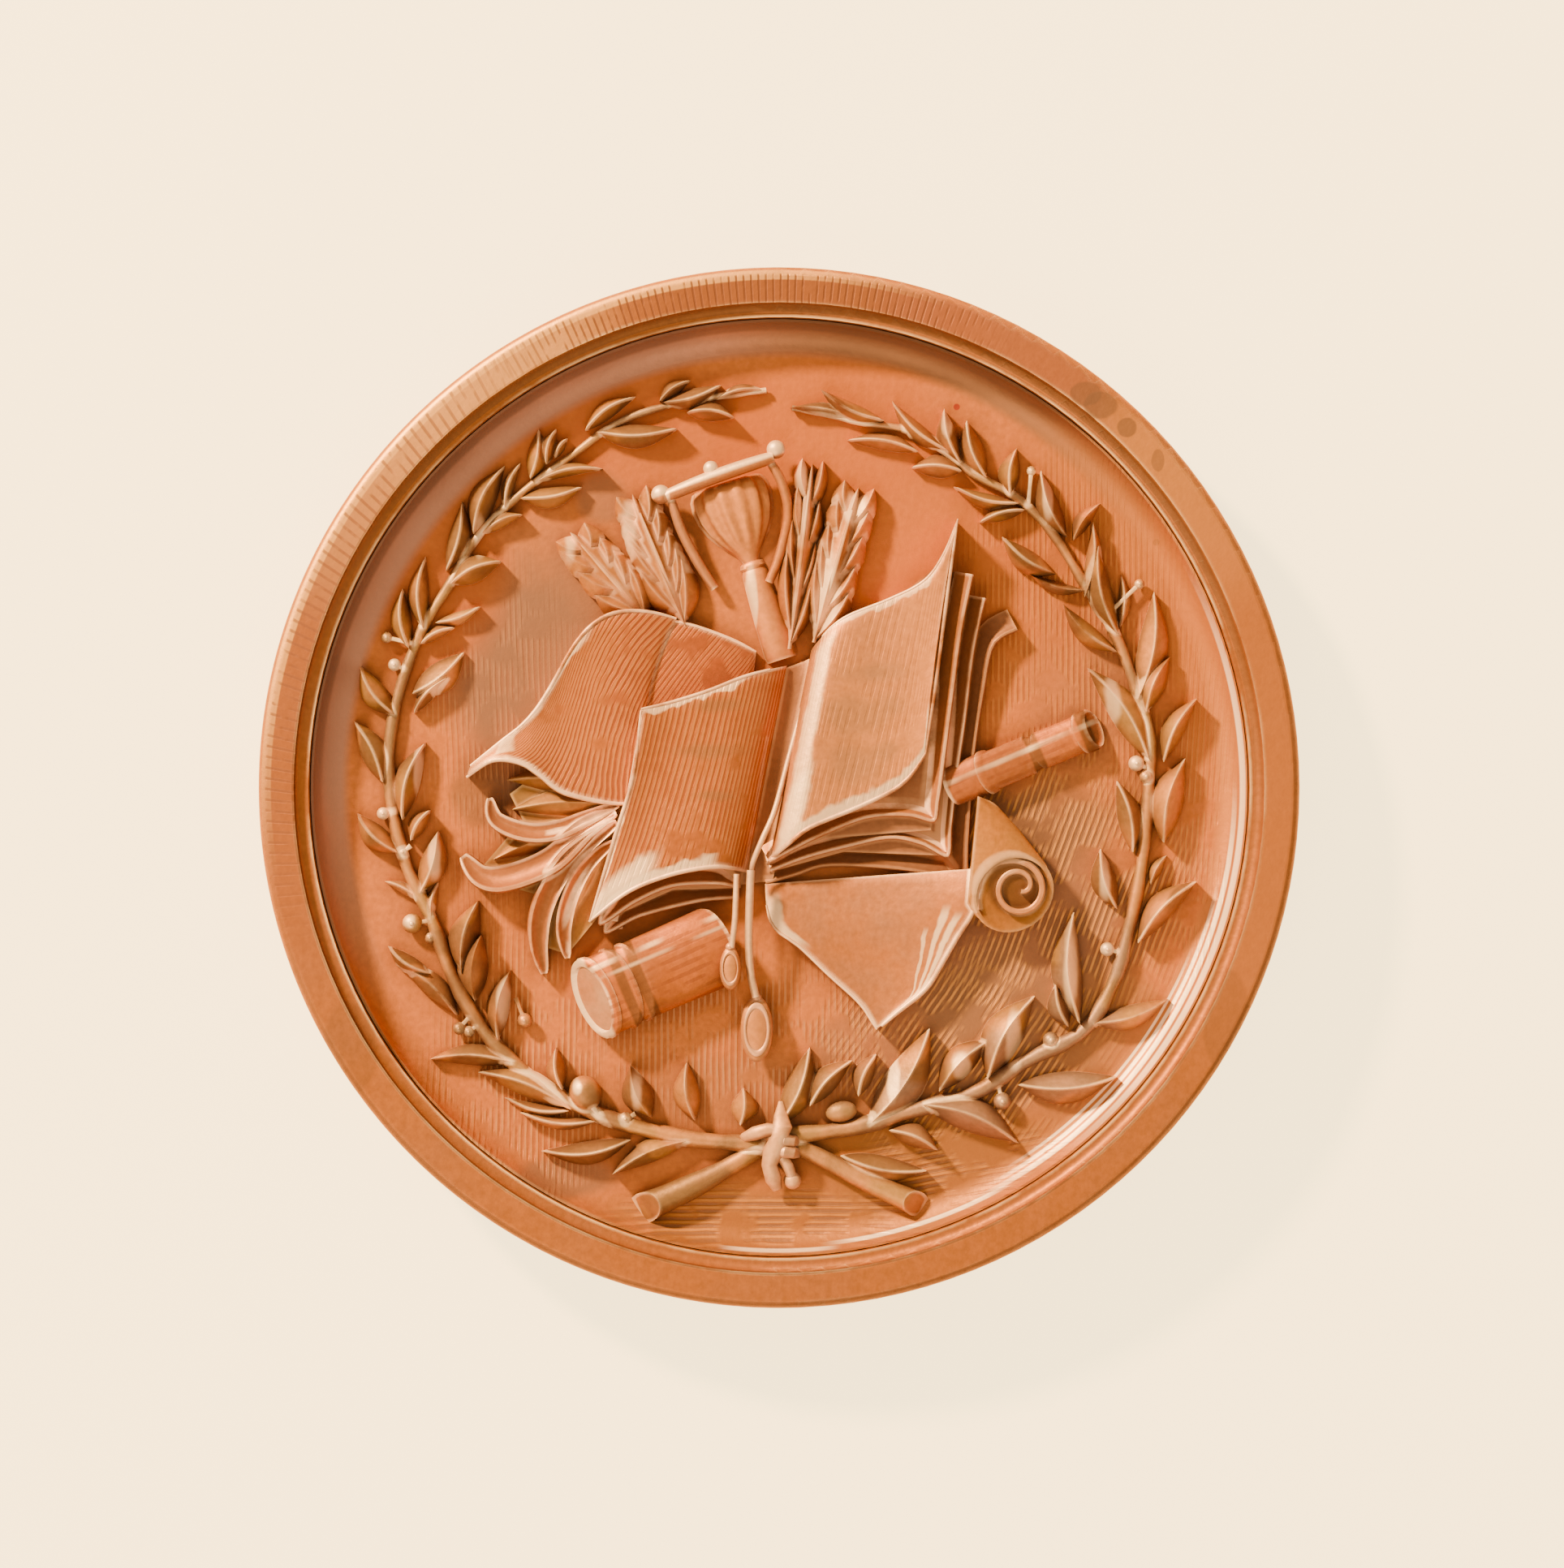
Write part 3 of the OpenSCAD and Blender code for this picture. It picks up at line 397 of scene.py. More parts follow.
# the cove, in parts of rings: radius and half width in mm, middle and half angle in degrees,
# colour, strength. Painted shade darkens the cove at the upper left, the upper right and along
# the top, and it is toned darker at the right and lower right; the GLINT arcs are painted
# highlight strokes at the lower right, with thin lines of painted shade between them
for radius, half_width, heading, spread, colour, share in (
    (28.0, 1.5, 142, 70, (0.38, 0.175, 0.115), 0.9), (28.2, 1.6, 64, 36, (0.22, 0.098, 0.048), 0.85),
    (28.65, 0.45, 118, 84, (0.14, 0.07, 0.042), 0.6), (27.2, 2.2, 24, 34, (0.43, 0.125, 0.020), 0.6),
    (28.1, 1.3, -35, 60, (0.46, 0.150, 0.035), 0.7), (28.62, 0.18, -12, 42, GLINT, 0.95),
    (28.2, 0.18, -32, 34, GLINT, 0.95), (27.82, 0.14, -37, 26, GLINT, 0.9),
    (27.45, 0.11, -40, 20, GLINT, 0.8), (28.4, 0.06, -34, 40, SHADE, 0.7),
    (28.0, 0.06, -36, 34, SHADE, 0.7), (28.35, 0.15, -72, 13, GLINT, 0.9), (28.6, 0.13, -90, 8, GLINT, 0.85),
):
    cover(field_finish, ring_mask(field_finish, radius, half_width, heading, spread, 0.5), colour, share)
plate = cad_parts["field_plate"]
plate.data.materials.clear()
plate.data.materials.append(field_finish)


# The laurel branches: two boughs of long pointed leaves, with berries on short stalks. They are
# cast in bronze in low relief and chased. Each stem tapers from its sawn foot to its tip, and
# the feet cross below the tie.
FIELD_Z = 2.4  # the height of the flat field, on which all the relief stands, in mm
# points along the stem, mm from the medallion's centre
STEM_LEFT = (
    (-0.8, -22.1), (-5.8, -21.7), (-10.5, -20.5), (-14.4, -18.6), (-17.7, -15.8), (-20.1, -12),
    (-21.5, -8.2), (-23.1, -4.8), (-24, -1), (-24.1, 3), (-23.3, 6.7), (-22, 10), (-20.2, 12.9),
    (-18.8, 15.4), (-16, 18.2), (-12.9, 20.5), (-9.8, 22.7), (-5.8, 23.9), (-0.8, 24.6),
)
STEM_RIGHT = (
    (0, -21.6), (4.3, -21.1), (8.6, -19.9), (12.1, -18.9), (15.5, -16.8), (18.8, -15.1), (20.6, -12.3),
    (21.5, -9.4), (22.4, -5.1), (22.9, 0.1), (22.9, 3.5), (21.9, 6.7), (20.6, 9.9), (18.6, 13.1),
    (16.9, 15.8), (14.8, 17.9), (12.1, 19.4), (10.3, 20.8), (8.1, 22.1), (5.2, 22.6), (2.6, 23.2),
    (0.8, 23.5),
)
# foot x, foot y, tip x, tip y, width
LEAVES_LEFT = (
    (-2.4, -20.9, -2.2, -18.6, 1.5), (-5.2, -20.6, -5.7, -17, 1.5), (-7.9, -20.4, -9.2, -17.2, 1.7),
    (-5.5, -21.8, -10.3, -23.9, 1.3), (-9.2, -21.8, -14.7, -22.5, 1.3),
    (-13.4, -18.7, -13.8, -16.1, 1.1), (-12.9, -19.8, -18.6, -17.6, 1.5),
    (-11.2, -20.6, -16, -20.1, 0.7), (-13, -20, -17, -19.2, 0.7), (-16.4, -17, -21.6, -16.8, 1.2),
    (-17.4, -15.6, -16.6, -11.3, 1.3), (-18.8, -13.2, -18.4, -9.1, 1.7),
    (-19.9, -14.1, -23.6, -10.8, 1.3), (-21.6, -11.5, -24.2, -9.8, 1), (-19.6, -11.5, -18.6, -7, 1.7),
    (-22.2, -6.5, -21.1, -2.7, 1.5), (-21.5, -8.2, -21.1, -5.8, 0.6), (-23.6, -4, -26.1, -1.6, 1.4),
    (-22.2, -7, -24.4, -5.8, 0.6), (-22.8, -3.3, -21.6, -1.4, 1), (-23.3, -2, -21.9, 2.8, 1.5),
    (-24.5, 0.3, -26.3, 4.1, 1.5), (-23.8, 4.5, -25.9, 7.5, 1.4), (-22.6, 4.6, -20.5, 6.8, 0.85),
    (-22.7, 5.8, -19.5, 8.4, 1.7), (-22.9, 8.6, -23.3, 12.3, 1.2), (-22.2, 8.9, -20.1, 9.9, 0.7),
    (-21.3, 10.2, -18.5, 11.2, 0.7), (-22, 9.8, -21.9, 14.3, 1.2), (-20.3, 12.6, -17.2, 14, 1.5),
    (-20.6, 13.4, -19.6, 17.7, 1.2), (-18.4, 15.7, -15.9, 16.9, 0.8), (-18.9, 15.7, -17, 19.9, 1.5),
    (-16, 17.9, -12.2, 18.6, 1.2), (-17, 17.2, -16, 20.1, 0.7), (-15.1, 18.9, -10.9, 19.7, 0.7),
    (-15.4, 19.1, -14.9, 22.2, 1.2), (-14.4, 20, -13.8, 22.2, 0.9), (-13.9, 20.4, -13.1, 21.6, 0.6),
    (-11.3, 22, -6.3, 22.2, 1.3), (-12, 22.1, -8.9, 24.2, 1), (-7.4, 23.9, -5.5, 25.2, 0.8),
    (-7.2, 23.8, -3.6, 24.9, 1.1), (-5.7, 23.2, -2.8, 22.9, 1.1), (-3.8, 24.1, -0.8, 24.6, 0.7),
)
LEAVES_RIGHT = (
    (0, -20.9, 1.9, -16.1, 1.7), (1.9, -19.7, 4.5, -16.9, 1.4), (4.9, -19.1, 6, -16.5, 1.2),
    (5.5, -20.9, 9.3, -14.9, 2.3), (9.9, -18.8, 13.1, -15.6, 1.7), (12.9, -18, 15.8, -12.9, 2.2),
    (3.8, -22.8, 9.1, -23.7, 1.5), (6.8, -21.2, 9.8, -22.4, 1.3), (8.9, -19.6, 14.8, -22, 2),
    (14.8, -18.4, 20.9, -17.9, 1.8), (17.9, -14.8, 17.1, -12.2, 1.2), (18.6, -14.6, 18.2, -7.7, 1.7),
    (19.4, -14.6, 24.1, -13.1, 1.3), (20.9, -7.5, 19.9, -3.8, 1.4), (22.2, -9.6, 25.8, -5.8, 1.5),
    (21.9, -4, 20.9, 0.4, 1.4), (23, -6, 24, -4.2, 0.7), (23.8, -3.4, 25.1, 1.8, 1.9),
    (22.9, 1.7, 19.1, 7.4, 1.8), (23.8, 1.6, 25.8, 5.5, 1.2), (22.7, 4.7, 24.2, 8.1, 1.5),
    (22.2, 5.5, 23.2, 12.1, 1.7), (20.9, 8.4, 17.6, 11.3, 1.1), (21, 9.4, 19.7, 14.9, 1.4),
    (21.1, 9.9, 21.2, 13.2, 0.7), (18.9, 12.2, 15.5, 13.2, 0.7), (17.1, 13.2, 13.8, 15.5, 1.3),
    (18.9, 11.8, 19.4, 16.4, 0.9), (18.2, 15.3, 19.9, 17.6, 0.9), (17.8, 15.5, 16.2, 19.6, 1.3),
    (15.2, 17.2, 12.4, 16.4, 0.9), (14.8, 17.6, 10.8, 18.6, 0.9), (14.3, 18.1, 14.7, 21, 1.2),
    (11.3, 19.6, 8.2, 19.8, 1.3), (12.8, 19.2, 11.6, 22.7, 1.4), (11.2, 20.1, 10.2, 23.4, 1.2),
    (8.6, 20.8, 4.2, 21.5, 1), (10.5, 20.8, 7, 23.9, 1), (6.5, 22.7, 2.6, 24.6, 1),
    (5.2, 22.6, 0.7, 23.5, 0.8),
)
# x, y, radius, then x and y of the stalk's foot
BERRIES_LEFT = (
    (-15.75, -14.4, 0.45, -16.3, -13.0), (-19.8, -14.9, 0.4, -18.9, -13.9),
    (-19.2, -15.1, 0.36, -18.5, -14.6), (-22.7, -8.4, 0.62, -21.4, -8.2),
    (-21.6, -9.3, 0.35, -21.0, -9.4), (-24.5, -1.6, 0.4, -23.7, -1.4),
    (-23.3, -4.0, 0.35, -22.8, -3.6), (-23.8, 7.6, 0.4, -23.1, 7.3),
    (-24.3, 9.3, 0.35, -22.6, 8.9), (-9.5, -20.5, 0.42, -8.9, -20.2),
)
BERRIES_RIGHT = (
    (13.8, -19.4, 0.55, 13.5, -18.2), (16.8, -15.6, 0.5, 16.5, -16.2),
    (20.3, -10.0, 0.45, 21.1, -10.2), (22.1, 1.5, 0.5, 22.8, 1.2), (22.7, 0.7, 0.42, 22.9, 0.3),
    (15.6, 19.6, 0.3, 15.4, 17.4), (22.3, 12.6, 0.32, 20.2, 10.6),
)


def blend_rows(rows, share):
    """The row that lies at this share of the way through a table, on a smooth curve."""
    x = max(0.0, min(1.0, share)) * (len(rows) - 1)
    i = min(int(x), len(rows) - 2)
    f = x - i
    four = (rows[max(i - 1, 0)], rows[i], rows[i + 1], rows[min(i + 2, len(rows) - 1)])
    return [
        0.5 * (2 * b + (c - a) * f + (2 * a - 5 * b + 4 * c - d) * f * f + (3 * b - a - 3 * c + d) * f ** 3)
        for a, b, c, d in zip(*four)
    ]


def faces_of(verts):
    """The faces round these vertices, each once, and in the same order each run."""
    return list(dict.fromkeys(face for vert in verts for face in vert.link_faces))


def settle(bm):
    """Sorts edges and faces by their points, since the mesh operators order them anew each run."""
    bm.verts.index_update()
    count = len(bm.verts)

    def rank(part):
        low, middle, high = (sorted(vert.index for vert in part.verts) + [0])[:3]
        return (low * count + middle) * count + high

    bm.edges.sort(key=rank)
    bm.faces.sort(key=rank)


def whole_of(start):
    """Every vertex that is joined to these."""
    found, newest = set(start), set(start)
    while newest:
        newest = {other for vert in newest for e in vert.link_edges for other in e.verts} - found
        found |= newest
    return list(found)


def down_to_field(bm, top_faces):
    """Walls a shaped top surface down to the flat field and closes it underneath."""
    under = bmesh.ops.extrude_face_region(bm, geom=top_faces)
    for part in under["geom"]:
        if isinstance(part, bmesh.types.BMVert):
            part.co.z = FIELD_Z


def blade(bm, foot, tip, width, crown, edge, bend, lift, pinch=1.0):
    """One pointed leaf: a sheet with a raised midrib, pinched at both ends. It is as high as its crown
    in the middle and as its edge along its sides, bends sideways, and lifts towards the tip."""
    run = Vector((tip[0] - foot[0], tip[1] - foot[1], 0))
    sheet = bmesh.ops.create_grid(bm, x_segments=12, y_segments=8, size=0.5)["verts"]
    faces = faces_of(sheet)
    for vert in sheet:
        along, side = vert.co.x + 0.5, 2 * vert.co.y
        half = 0.5 * width * math.sin(math.pi * min(1.0, along) ** 0.9) ** pinch
        arch = math.sin(math.pi * (0.12 + 0.8 * along)) ** 0.7
        flank = 1 - abs(side) ** 1.6
        rib = 0.10 if abs(side) < 0.1 and 0.04 < along < 0.9 else 0.0
        height = edge + (crown * (0.45 + 0.55 * arch) - edge) * flank + rib + lift * along ** 2
        across = side * half + bend * math.sin(math.pi * along)
        vert.co = Vector((along * run.length, across, FIELD_Z + height))
    down_to_field(bm, faces)
    heading = Matrix.Rotation(math.atan2(run.y, run.x), 4, "Z")
    placing = Matrix.Translation(Vector((foot[0], foot[1], 0))) @ heading
    bmesh.ops.transform(bm, matrix=placing, verts=whole_of(sheet))


def sweep_rings(bm, rings):
    """A closed bar through rings of points, each extruded from the one before it."""
    count = len(rings[0])

    def edges_round(ring):
        return [bm.edges.get((ring[i], ring[(i + 1) % count])) for i in range(count)]

    ring = bmesh.ops.create_circle(bm, radius=1, segments=count)["verts"]
    for vert, place in zip(ring, rings[0]):
        vert.co = place
    first = ring
    for places in rings[1:]:
        grown = bmesh.ops.extrude_edge_only(bm, edges=edges_round(ring))["geom"]
        made = {part for part in grown if isinstance(part, bmesh.types.BMVert)}
        beside = [[e.other_vert(vert) for e in vert.link_edges] for vert in ring]
        ring = [next(vert for vert in others if vert in made) for others in beside]
        for vert, place in zip(ring, places):
            vert.co = place
    for end in (first, ring):
        bmesh.ops.contextual_create(bm, geom=edges_round(end))


def bar(bm, stations, section=None, sides=12, flat=0.8):
    """A bar through stations of x, y, height, size. Its section is round, or a list of out and up."""
    turns = [2 * math.pi * k / sides for k in range(sides)]
    section = section or [(math.cos(turn), flat * math.sin(turn)) for turn in turns]
    rings = []
    for i, (x, y, height, size) in enumerate(stations):
        before, after = stations[max(i - 1, 0)], stations[min(i + 1, len(stations) - 1)]
        heading = Vector((after[0] - before[0], after[1] - before[1])).normalized()
        rings.append([
            Vector((x + heading.y * out * size, y - heading.x * out * size, FIELD_Z + height + up * size))
            for out, up in section
        ])
    sweep_rings(bm, rings)


def ball(bm, place, radius, stretch=(1, 1, 0.85), turn=0.0, rings=8):
    """A berry, bead or finial: a turned ball, stretched and turned in place."""
    placing = Matrix.Translation(place) @ Matrix.Rotation(turn, 4, "Z") @ Matrix.Diagonal((*stretch, 1))
    bmesh.ops.create_uvsphere(bm, u_segments=2 * rings, v_segments=rings, radius=radius, matrix=placing)


def saw(part, place, normal, **cleared):
    """Saws a part through on a plane, clears one side away and closes the cut."""
    settle(part)
    everything = part.verts[:] + part.edges[:] + part.faces[:]
    bmesh.ops.bisect_plane(part, geom=everything, plane_co=place, plane_no=normal, **cleared)
    settle(part)
    bmesh.ops.holes_fill(part, edges=[e for e in part.edges if e.is_boundary], sides=0)


def add(whole, part):
    """Joins a part to its piece."""
    carrier = bpy.data.meshes.new("carrier")
    part.to_mesh(carrier)
    part.free()
    whole.from_mesh(carrier)
    bpy.data.meshes.remove(carrier)


def add_cut(whole, part):
    """Cuts a part flat where it meets the field, and joins it to its piece."""
    bmesh.ops.recalc_face_normals(part, faces=part.faces[:])
    saw(part, (0, 0, FIELD_Z), (0, 0, 1), clear_inner=True)
    add(whole, part)


def add_bar(whole, stations, **shape):
    """Cuts a bar flat where it meets the field, and joins it to its piece."""
    part = bmesh.new()
    bar(part, stations, **shape)
    add_cut(whole, part)


# points nearer than this in mm are welded, and edges sharper than this in degrees stay crisp
WELD, CRISP = 0.0004, 38


def cast_piece(name, parts, nodes):
    """Joins parts that are each a mesh and its finish, and sets them in the frame for their CAD nodes."""
    whole = bmesh.new()
    for index, (part, finish) in enumerate(parts):
        settle(part)
        bmesh.ops.remove_doubles(part, verts=part.verts[:], dist=WELD)
        bmesh.ops.dissolve_degenerate(part, dist=WELD, edges=part.edges[:])
        settle(part)
        bmesh.ops.recalc_face_normals(part, faces=part.faces[:])
        for face in part.faces:
            face.material_index = index
        add(whole, part)
    # from millimetres to metres
    bmesh.ops.scale(whole, vec=(0.001, 0.001, 0.001), verts=whole.verts[:])
    mesh = bpy.data.meshes.new(name)
    whole.to_mesh(mesh)
    whole.free()
    mesh.shade_smooth()
    mesh.set_sharp_from_angle(angle=math.radians(CRISP))
    for part, finish in parts:
        mesh.materials.append(finish)
    piece = bpy.data.objects.new(name, mesh)
    scene.collection.objects.link(piece)
    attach(piece, "root")
    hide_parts(*nodes)


# the radius in mm of the stem and of the foot where they leave the tie, and the steps along each
STEM_R, FOOT_R, STEM_STEPS, FOOT_STEPS = 0.54, 0.5, 60, 8


def bough(stem, leaves, berries, foot, end_r):
    """One branch: its stem from the tie to the tip, its sawn foot, its leaves and its berries."""
    bm = bmesh.new()
    # the stem tapers to a third, with a swelling at each knot
    stations = []
    for k in range(STEM_STEPS + 1):
        x, y = blend_rows(stem, k / STEM_STEPS)
        thick = STEM_R * (1 - 0.66 * k / STEM_STEPS) * (1 + 0.14 * math.sin(k * 2.1))
        stations.append((x, y, 0.30 + 0.25 * thick, thick))
    add_bar(bm, stations, flat=1.0)
    # the foot thickens away from the tie, and its end is sawn at a slant
    sawn = bmesh.new()
    stations = []
    for k in range(FOOT_STEPS + 1):
        x, y = blend_rows((stem[0], *foot), k / FOOT_STEPS)
        thick = FOOT_R + (end_r - FOOT_R) * (k / FOOT_STEPS) ** 1.5 + 0.04 * math.sin(1.7 * k)
        stations.append((x, y, 0.35 + 0.035 * k, thick))
    bar(sawn, stations, sides=20, flat=0.9)
    x, y = foot[-1]
    outward = Vector((x - foot[0][0], y - foot[0][1], 0)).normalized()
    saw(sawn, (x, y, FIELD_Z), outward + Vector((0, 0, 1.1)), clear_outer=True)
    add_cut(bm, sawn)
    # every third leaf bends back; crowns and tips vary from leaf to leaf, and slim leaves lie low
    for k, (x, y, tip_x, tip_y, width) in enumerate(leaves):
        bend = 0.09 * math.hypot(tip_x - x, tip_y - y) * (1 if k % 3 else -0.8)
        crown = (1.15 + 0.2 * ((k * 7) % 3 - 1) + 0.15 * min(width, 2)) * (0.65 if width < 0.9 else 1)
        lift = 0.24 * ((k * 5) % 4 - 1)
        blade(bm, (x, y), (tip_x, tip_y), 1.12 * width, crown, 0.34, bend, lift)
    # each berry has its stalk, and the dry tip of the flower on top
    for x, y, radius, foot_x, foot_y in berries:
        middle = (0.5 * (x + foot_x), 0.5 * (y + foot_y), 0.6, 0.13)
        add_bar(bm, [(foot_x, foot_y, 0.45, 0.17), middle, (x, y, 0.5, 0.15)], sides=8)
        berry = bmesh.new()
        ball(berry, Vector((x, y, FIELD_Z + 0.62 * radius + 0.3)), radius, (1, 1, 0.95))
        ball(berry, Vector((x, y, FIELD_Z + 1.55 * radius + 0.3)), 0.24 * radius)
        add_cut(bm, berry)
    return bm


def drift_mask(finish, scale, low, high, shift):
    """A mask of soft drifting patches over a piece. Another shift gives other patches."""
    values = {"Vector": object_place(finish), "W": shift, "Scale": scale, "Detail": 1}
    noise = node_of(finish.node_tree, "TexNoise", values, noise_dimensions="4D").outputs["Fac"]
    return ranged(finish, noise, low, high)


# cream, for painted highlights; the lens also takes it for its worn edges
CREAM = (1.0, 0.66, 0.38)
leaf_finish = bronze(
    "leaf_bronze", (0.532, 0.199, 0.05), (1.0, 0.66, 0.36), tarnish=(0.238, 0.112, 0.032),
    amounts=(0.5, 0.9, 0.9))
# drifts in the bare metal: fineness, where a drift starts and is full, shift, colour, strength
for scale, low, high, shift, colour, share in (
    (210, 0.49, 0.56, 1.0, (0.42, 0.203, 0.045), 0.75),
    (230, 0.50, 0.57, 5.0, (0.182, 0.083, 0.035), 0.8),
):
    cover(leaf_finish, drift_mask(leaf_finish, scale, low, high, shift), colour, share, bare=True)
mauve_drift = drift_mask(leaf_finish, 190, 0.41, 0.49, 9.0)
lower_right = joined(leaf_finish, "MULTIPLY", mauve_drift, spot_mask(leaf_finish, 15, -16, 12, 9))
cover(leaf_finish, lower_right, (0.33, 0.175, 0.105), 0.85, bare=True)
# painted highlights on leaves and berries: x, y, half width and half height in mm
for x, y, half_x, half_y in (
    (18.0, -10.9, 0.42, 2.3), (14.5, -15.2, 0.5, 1.7), (20.1, -5.4, 0.38, 1.5), (11.3, -17.2, 0.5, 0.9),
    (7.0, -17.6, 0.35, 1.6), (20.6, 5.3, 0.5, 1.8), (16.6, 18.0, 0.3, 1.3), (10.4, 22.6, 0.35, 0.9),
    (-22.3, 0.9, 0.35, 1.7), (-21.3, -4.2, 0.35, 1.3), (-8.8, -18.6, 0.4, 1.2), (-17.0, -13.4, 0.4, 1.4),
    (-18.5, 15.6, 0.35, 1.2), (-22.9, -8.2, 0.36, 0.36), (-23.8, 7.6, 0.4, 0.4), (-24.5, -1.6, 0.45, 0.4),
    (22.1, 1.5, 0.5, 0.5), (20.3, -10.0, 0.42, 0.42), (-12.5, -18.4, 0.3, 0.5),
):
    cover(leaf_finish, spot_mask(leaf_finish, x, y, half_x, half_y, 0.7, 0.8), CREAM, 0.62)
left_bough = bough(STEM_LEFT, LEAVES_LEFT, BERRIES_LEFT, ((-4.6, -24.3), (-8.8, -26.2)), 1.05)
olive = bmesh.new()
ball(olive, Vector((-12.0, -18.9, FIELD_Z + 0.6)), 1.0, (1.12, 1.0, 0.95), math.radians(-60), 14)
bar(olive, [(-10.4, -20.9, 0.5, 0.22), (-11.2, -20.2, 0.8, 0.18), (-11.7, -19.5, 0.9, 0.22)], sides=8)
add_cut(left_bough, olive)
cast_piece("laurel_bough_left", [(left_bough, leaf_finish)], ["laurel_left"])
right_bough = bough(STEM_RIGHT, LEAVES_RIGHT, BERRIES_RIGHT, ((4.6, -23.9), (9.0, -26.0)), 0.85)
nut = bmesh.new()
ball(nut, Vector((3.85, -20.05, FIELD_Z + 0.6)), 0.65, (1.5, 1.0, 0.9), math.radians(10), 12)
add_cut(right_bough, nut)
cast_piece("laurel_bough_right", [(right_bough, leaf_finish)], ["laurel_right"])


# The tie: a strap wound twice round the crossing stems and knotted in front, with a loop at its
# left and a tail that ends in a ball-shaped knot. It is modelled with the wreath, and cast in
# bronze as a piece of its own. Its bars go through stations of x, y, height and size in mm.
tie = bmesh.new()
STRAP = (
    (0.1, -19.4, 0.6, 0.14), (0.1, -20.2, 1.2, 0.42), (0.2, -20.9, 1.6, 0.62), (0.0, -21.6, 1.7, 0.5),
    (-0.35, -22.4, 1.55, 0.66), (-0.6, -23.3, 1.3, 0.5), (-0.35, -24.2, 1.0, 0.52), (-0.1, -24.9, 0.6, 0.3),
)
LOOP = (
    (0.1, -21.1, 1.5, 0.3), (-0.7, -21.1, 1.5, 0.42), (-1.5, -21.35, 1.25, 0.44), (-2.2, -21.65, 0.9, 0.3),
    (-2.5, -21.8, 0.5, 0.12),
)
# x, how far above the winding's middle, height, size
WINDING = (
    (-1.15, 0.3, 0.4, 0.26), (-0.6, 0.2, 1.3, 0.34), (0.3, 0, 1.7, 0.38), (0.95, -0.1, 1.35, 0.36),
    (1.35, -0.2, 0.4, 0.26),
)
add_bar(tie, STRAP, sides=16, flat=0.7)
for y in (-21.75, -21.75 - 0.7):
    add_bar(tie, [(x, y + above, height, size) for x, above, height, size in WINDING])
add_bar(tie, LOOP)
tail = bmesh.new()
bar(tail, [(0.2, -22.8, 1.3, 0.36), (0.55, -23.4, 1.2, 0.36), (0.8, -24.1, 0.9, 0.3)])
ball(tail, Vector((0.82, -24.3, FIELD_Z + 0.7)), 0.55, (1, 1, 0.9), rings=12)
add_cut(tie, tail)
tie_finish = bronze(
    "tie_bronze", (0.931, 0.475, 0.209), (1.0, 0.68, 0.42), tarnish=(0.364, 0.126, 0.042),
    amounts=(0.6, 0.2, 0.9))
cast_piece("wreath_tie", [(tie, tie_finish)], ["laurel_tie"])


# The open book: two pages of thick leaves that arch up from a deep gutter, more leaves under
# them, and covers that flare at the right. It is cast solid in bronze on the field, and the
# edges of its leaves are chased bright. Painted highlights lie along the margins of its pages,
# and painted shade darkens its gutter and the depths between its leaves.
PCT, RISE = 0.3968, 0.031  # one percent of the trophy's width, and of the relief's height, in mm
# foot x, foot y, head x, head y in percent of the trophy's width, then the height at the foot,
# in the middle and at the head in percent of the relief, then the bow to the right
RIGHT_PAGE = (
    (-1.9, -12.0, 5.0, 21.4, 30, 34, 30, 0.0), (-0.8, -10.6, 5.9, 22.6, 66, 66, 54, 0.0),
    (2.0, -8.2, 8.2, 25.0, 92, 88, 70, 0.0), (5.0, -6.0, 11.2, 26.9, 95, 86, 76, 0.0),
    (11.3, -3.4, 17.0, 29.2, 86, 76, 78, 0.0), (17.6, -0.4, 22.4, 32.0, 80, 76, 86, 0.0),
    (20.6, 2.2, 25.4, 36.0, 80, 80, 95, -0.2), (22.7, 5.4, 27.7, 41.6, 82, 86, 100, -0.4),
)
LEFT_PAGE = (
    (-29.5, -20.8, -21.4, 12.2, 74, 82, 88, 1.0), (-23.4, -16.1, -17.0, 13.2, 84, 78, 80, 0.6),
    (-16.6, -13.4, -11.2, 15.0, 86, 78, 76, 0.3), (-10.5, -12.3, -5.6, 17.2, 80, 74, 68, 0.0),
    (-7.2, -12.5, -1.4, 18.4, 64, 58, 52, 0.0), (-5.0, -13.0, 1.2, 19.0, 34, 32, 30, 0.0),
)
GUTTER = (
    (-6.4, -15.2, 0.8, 18.6, 26, 26, 24, 0.0), (-3.4, -14.8, 3.0, 19.4, 16, 16, 16, 0.0),
    (-1.0, -14.6, 6.0, 20.6, 26, 26, 24, 0.0),
)
# x and y along the outer edge of each leaf or cover, height in percent of the relief
EDGE_RIGHT_2 = (
    (-1.4, -11.8, 60), (2.6, -9.6, 66), (6.9, -7.5, 66), (13.7, -4.9, 62), (20.0, -4.6, 60),
    (24.2, -5.4, 60), (25.0, -2.0, 62), (25.8, 3.8, 64), (27.1, 13.9, 68), (28.4, 23.9, 76),
    (30.2, 33.0, 84),
)
EDGE_RIGHT_3 = (
    (-1.2, -13.2, 40), (4.0, -11.2, 46), (10.3, -9.5, 46), (17.1, -8.1, 42), (22.0, -9.0, 40),
    (26.4, -10.9, 40), (27.0, -6.0, 40), (27.9, 2.0, 42), (29.2, 11.0, 46), (30.4, 21.0, 52),
    (32.2, 29.4, 62),
)
EDGE_RIGHT_COVER = (
    (-2.0, -15.2, 22), (2.8, -13.8, 26), (7.7, -12.4, 26), (17.1, -12.8, 24), (24.0, -13.8, 23),
    (29.0, -14.7, 23), (29.7, -8.0, 24), (30.6, 5.0, 28), (32.1, 15.1, 34), (33.6, 22.0, 40),
    (37.2, 24.4, 34),
)
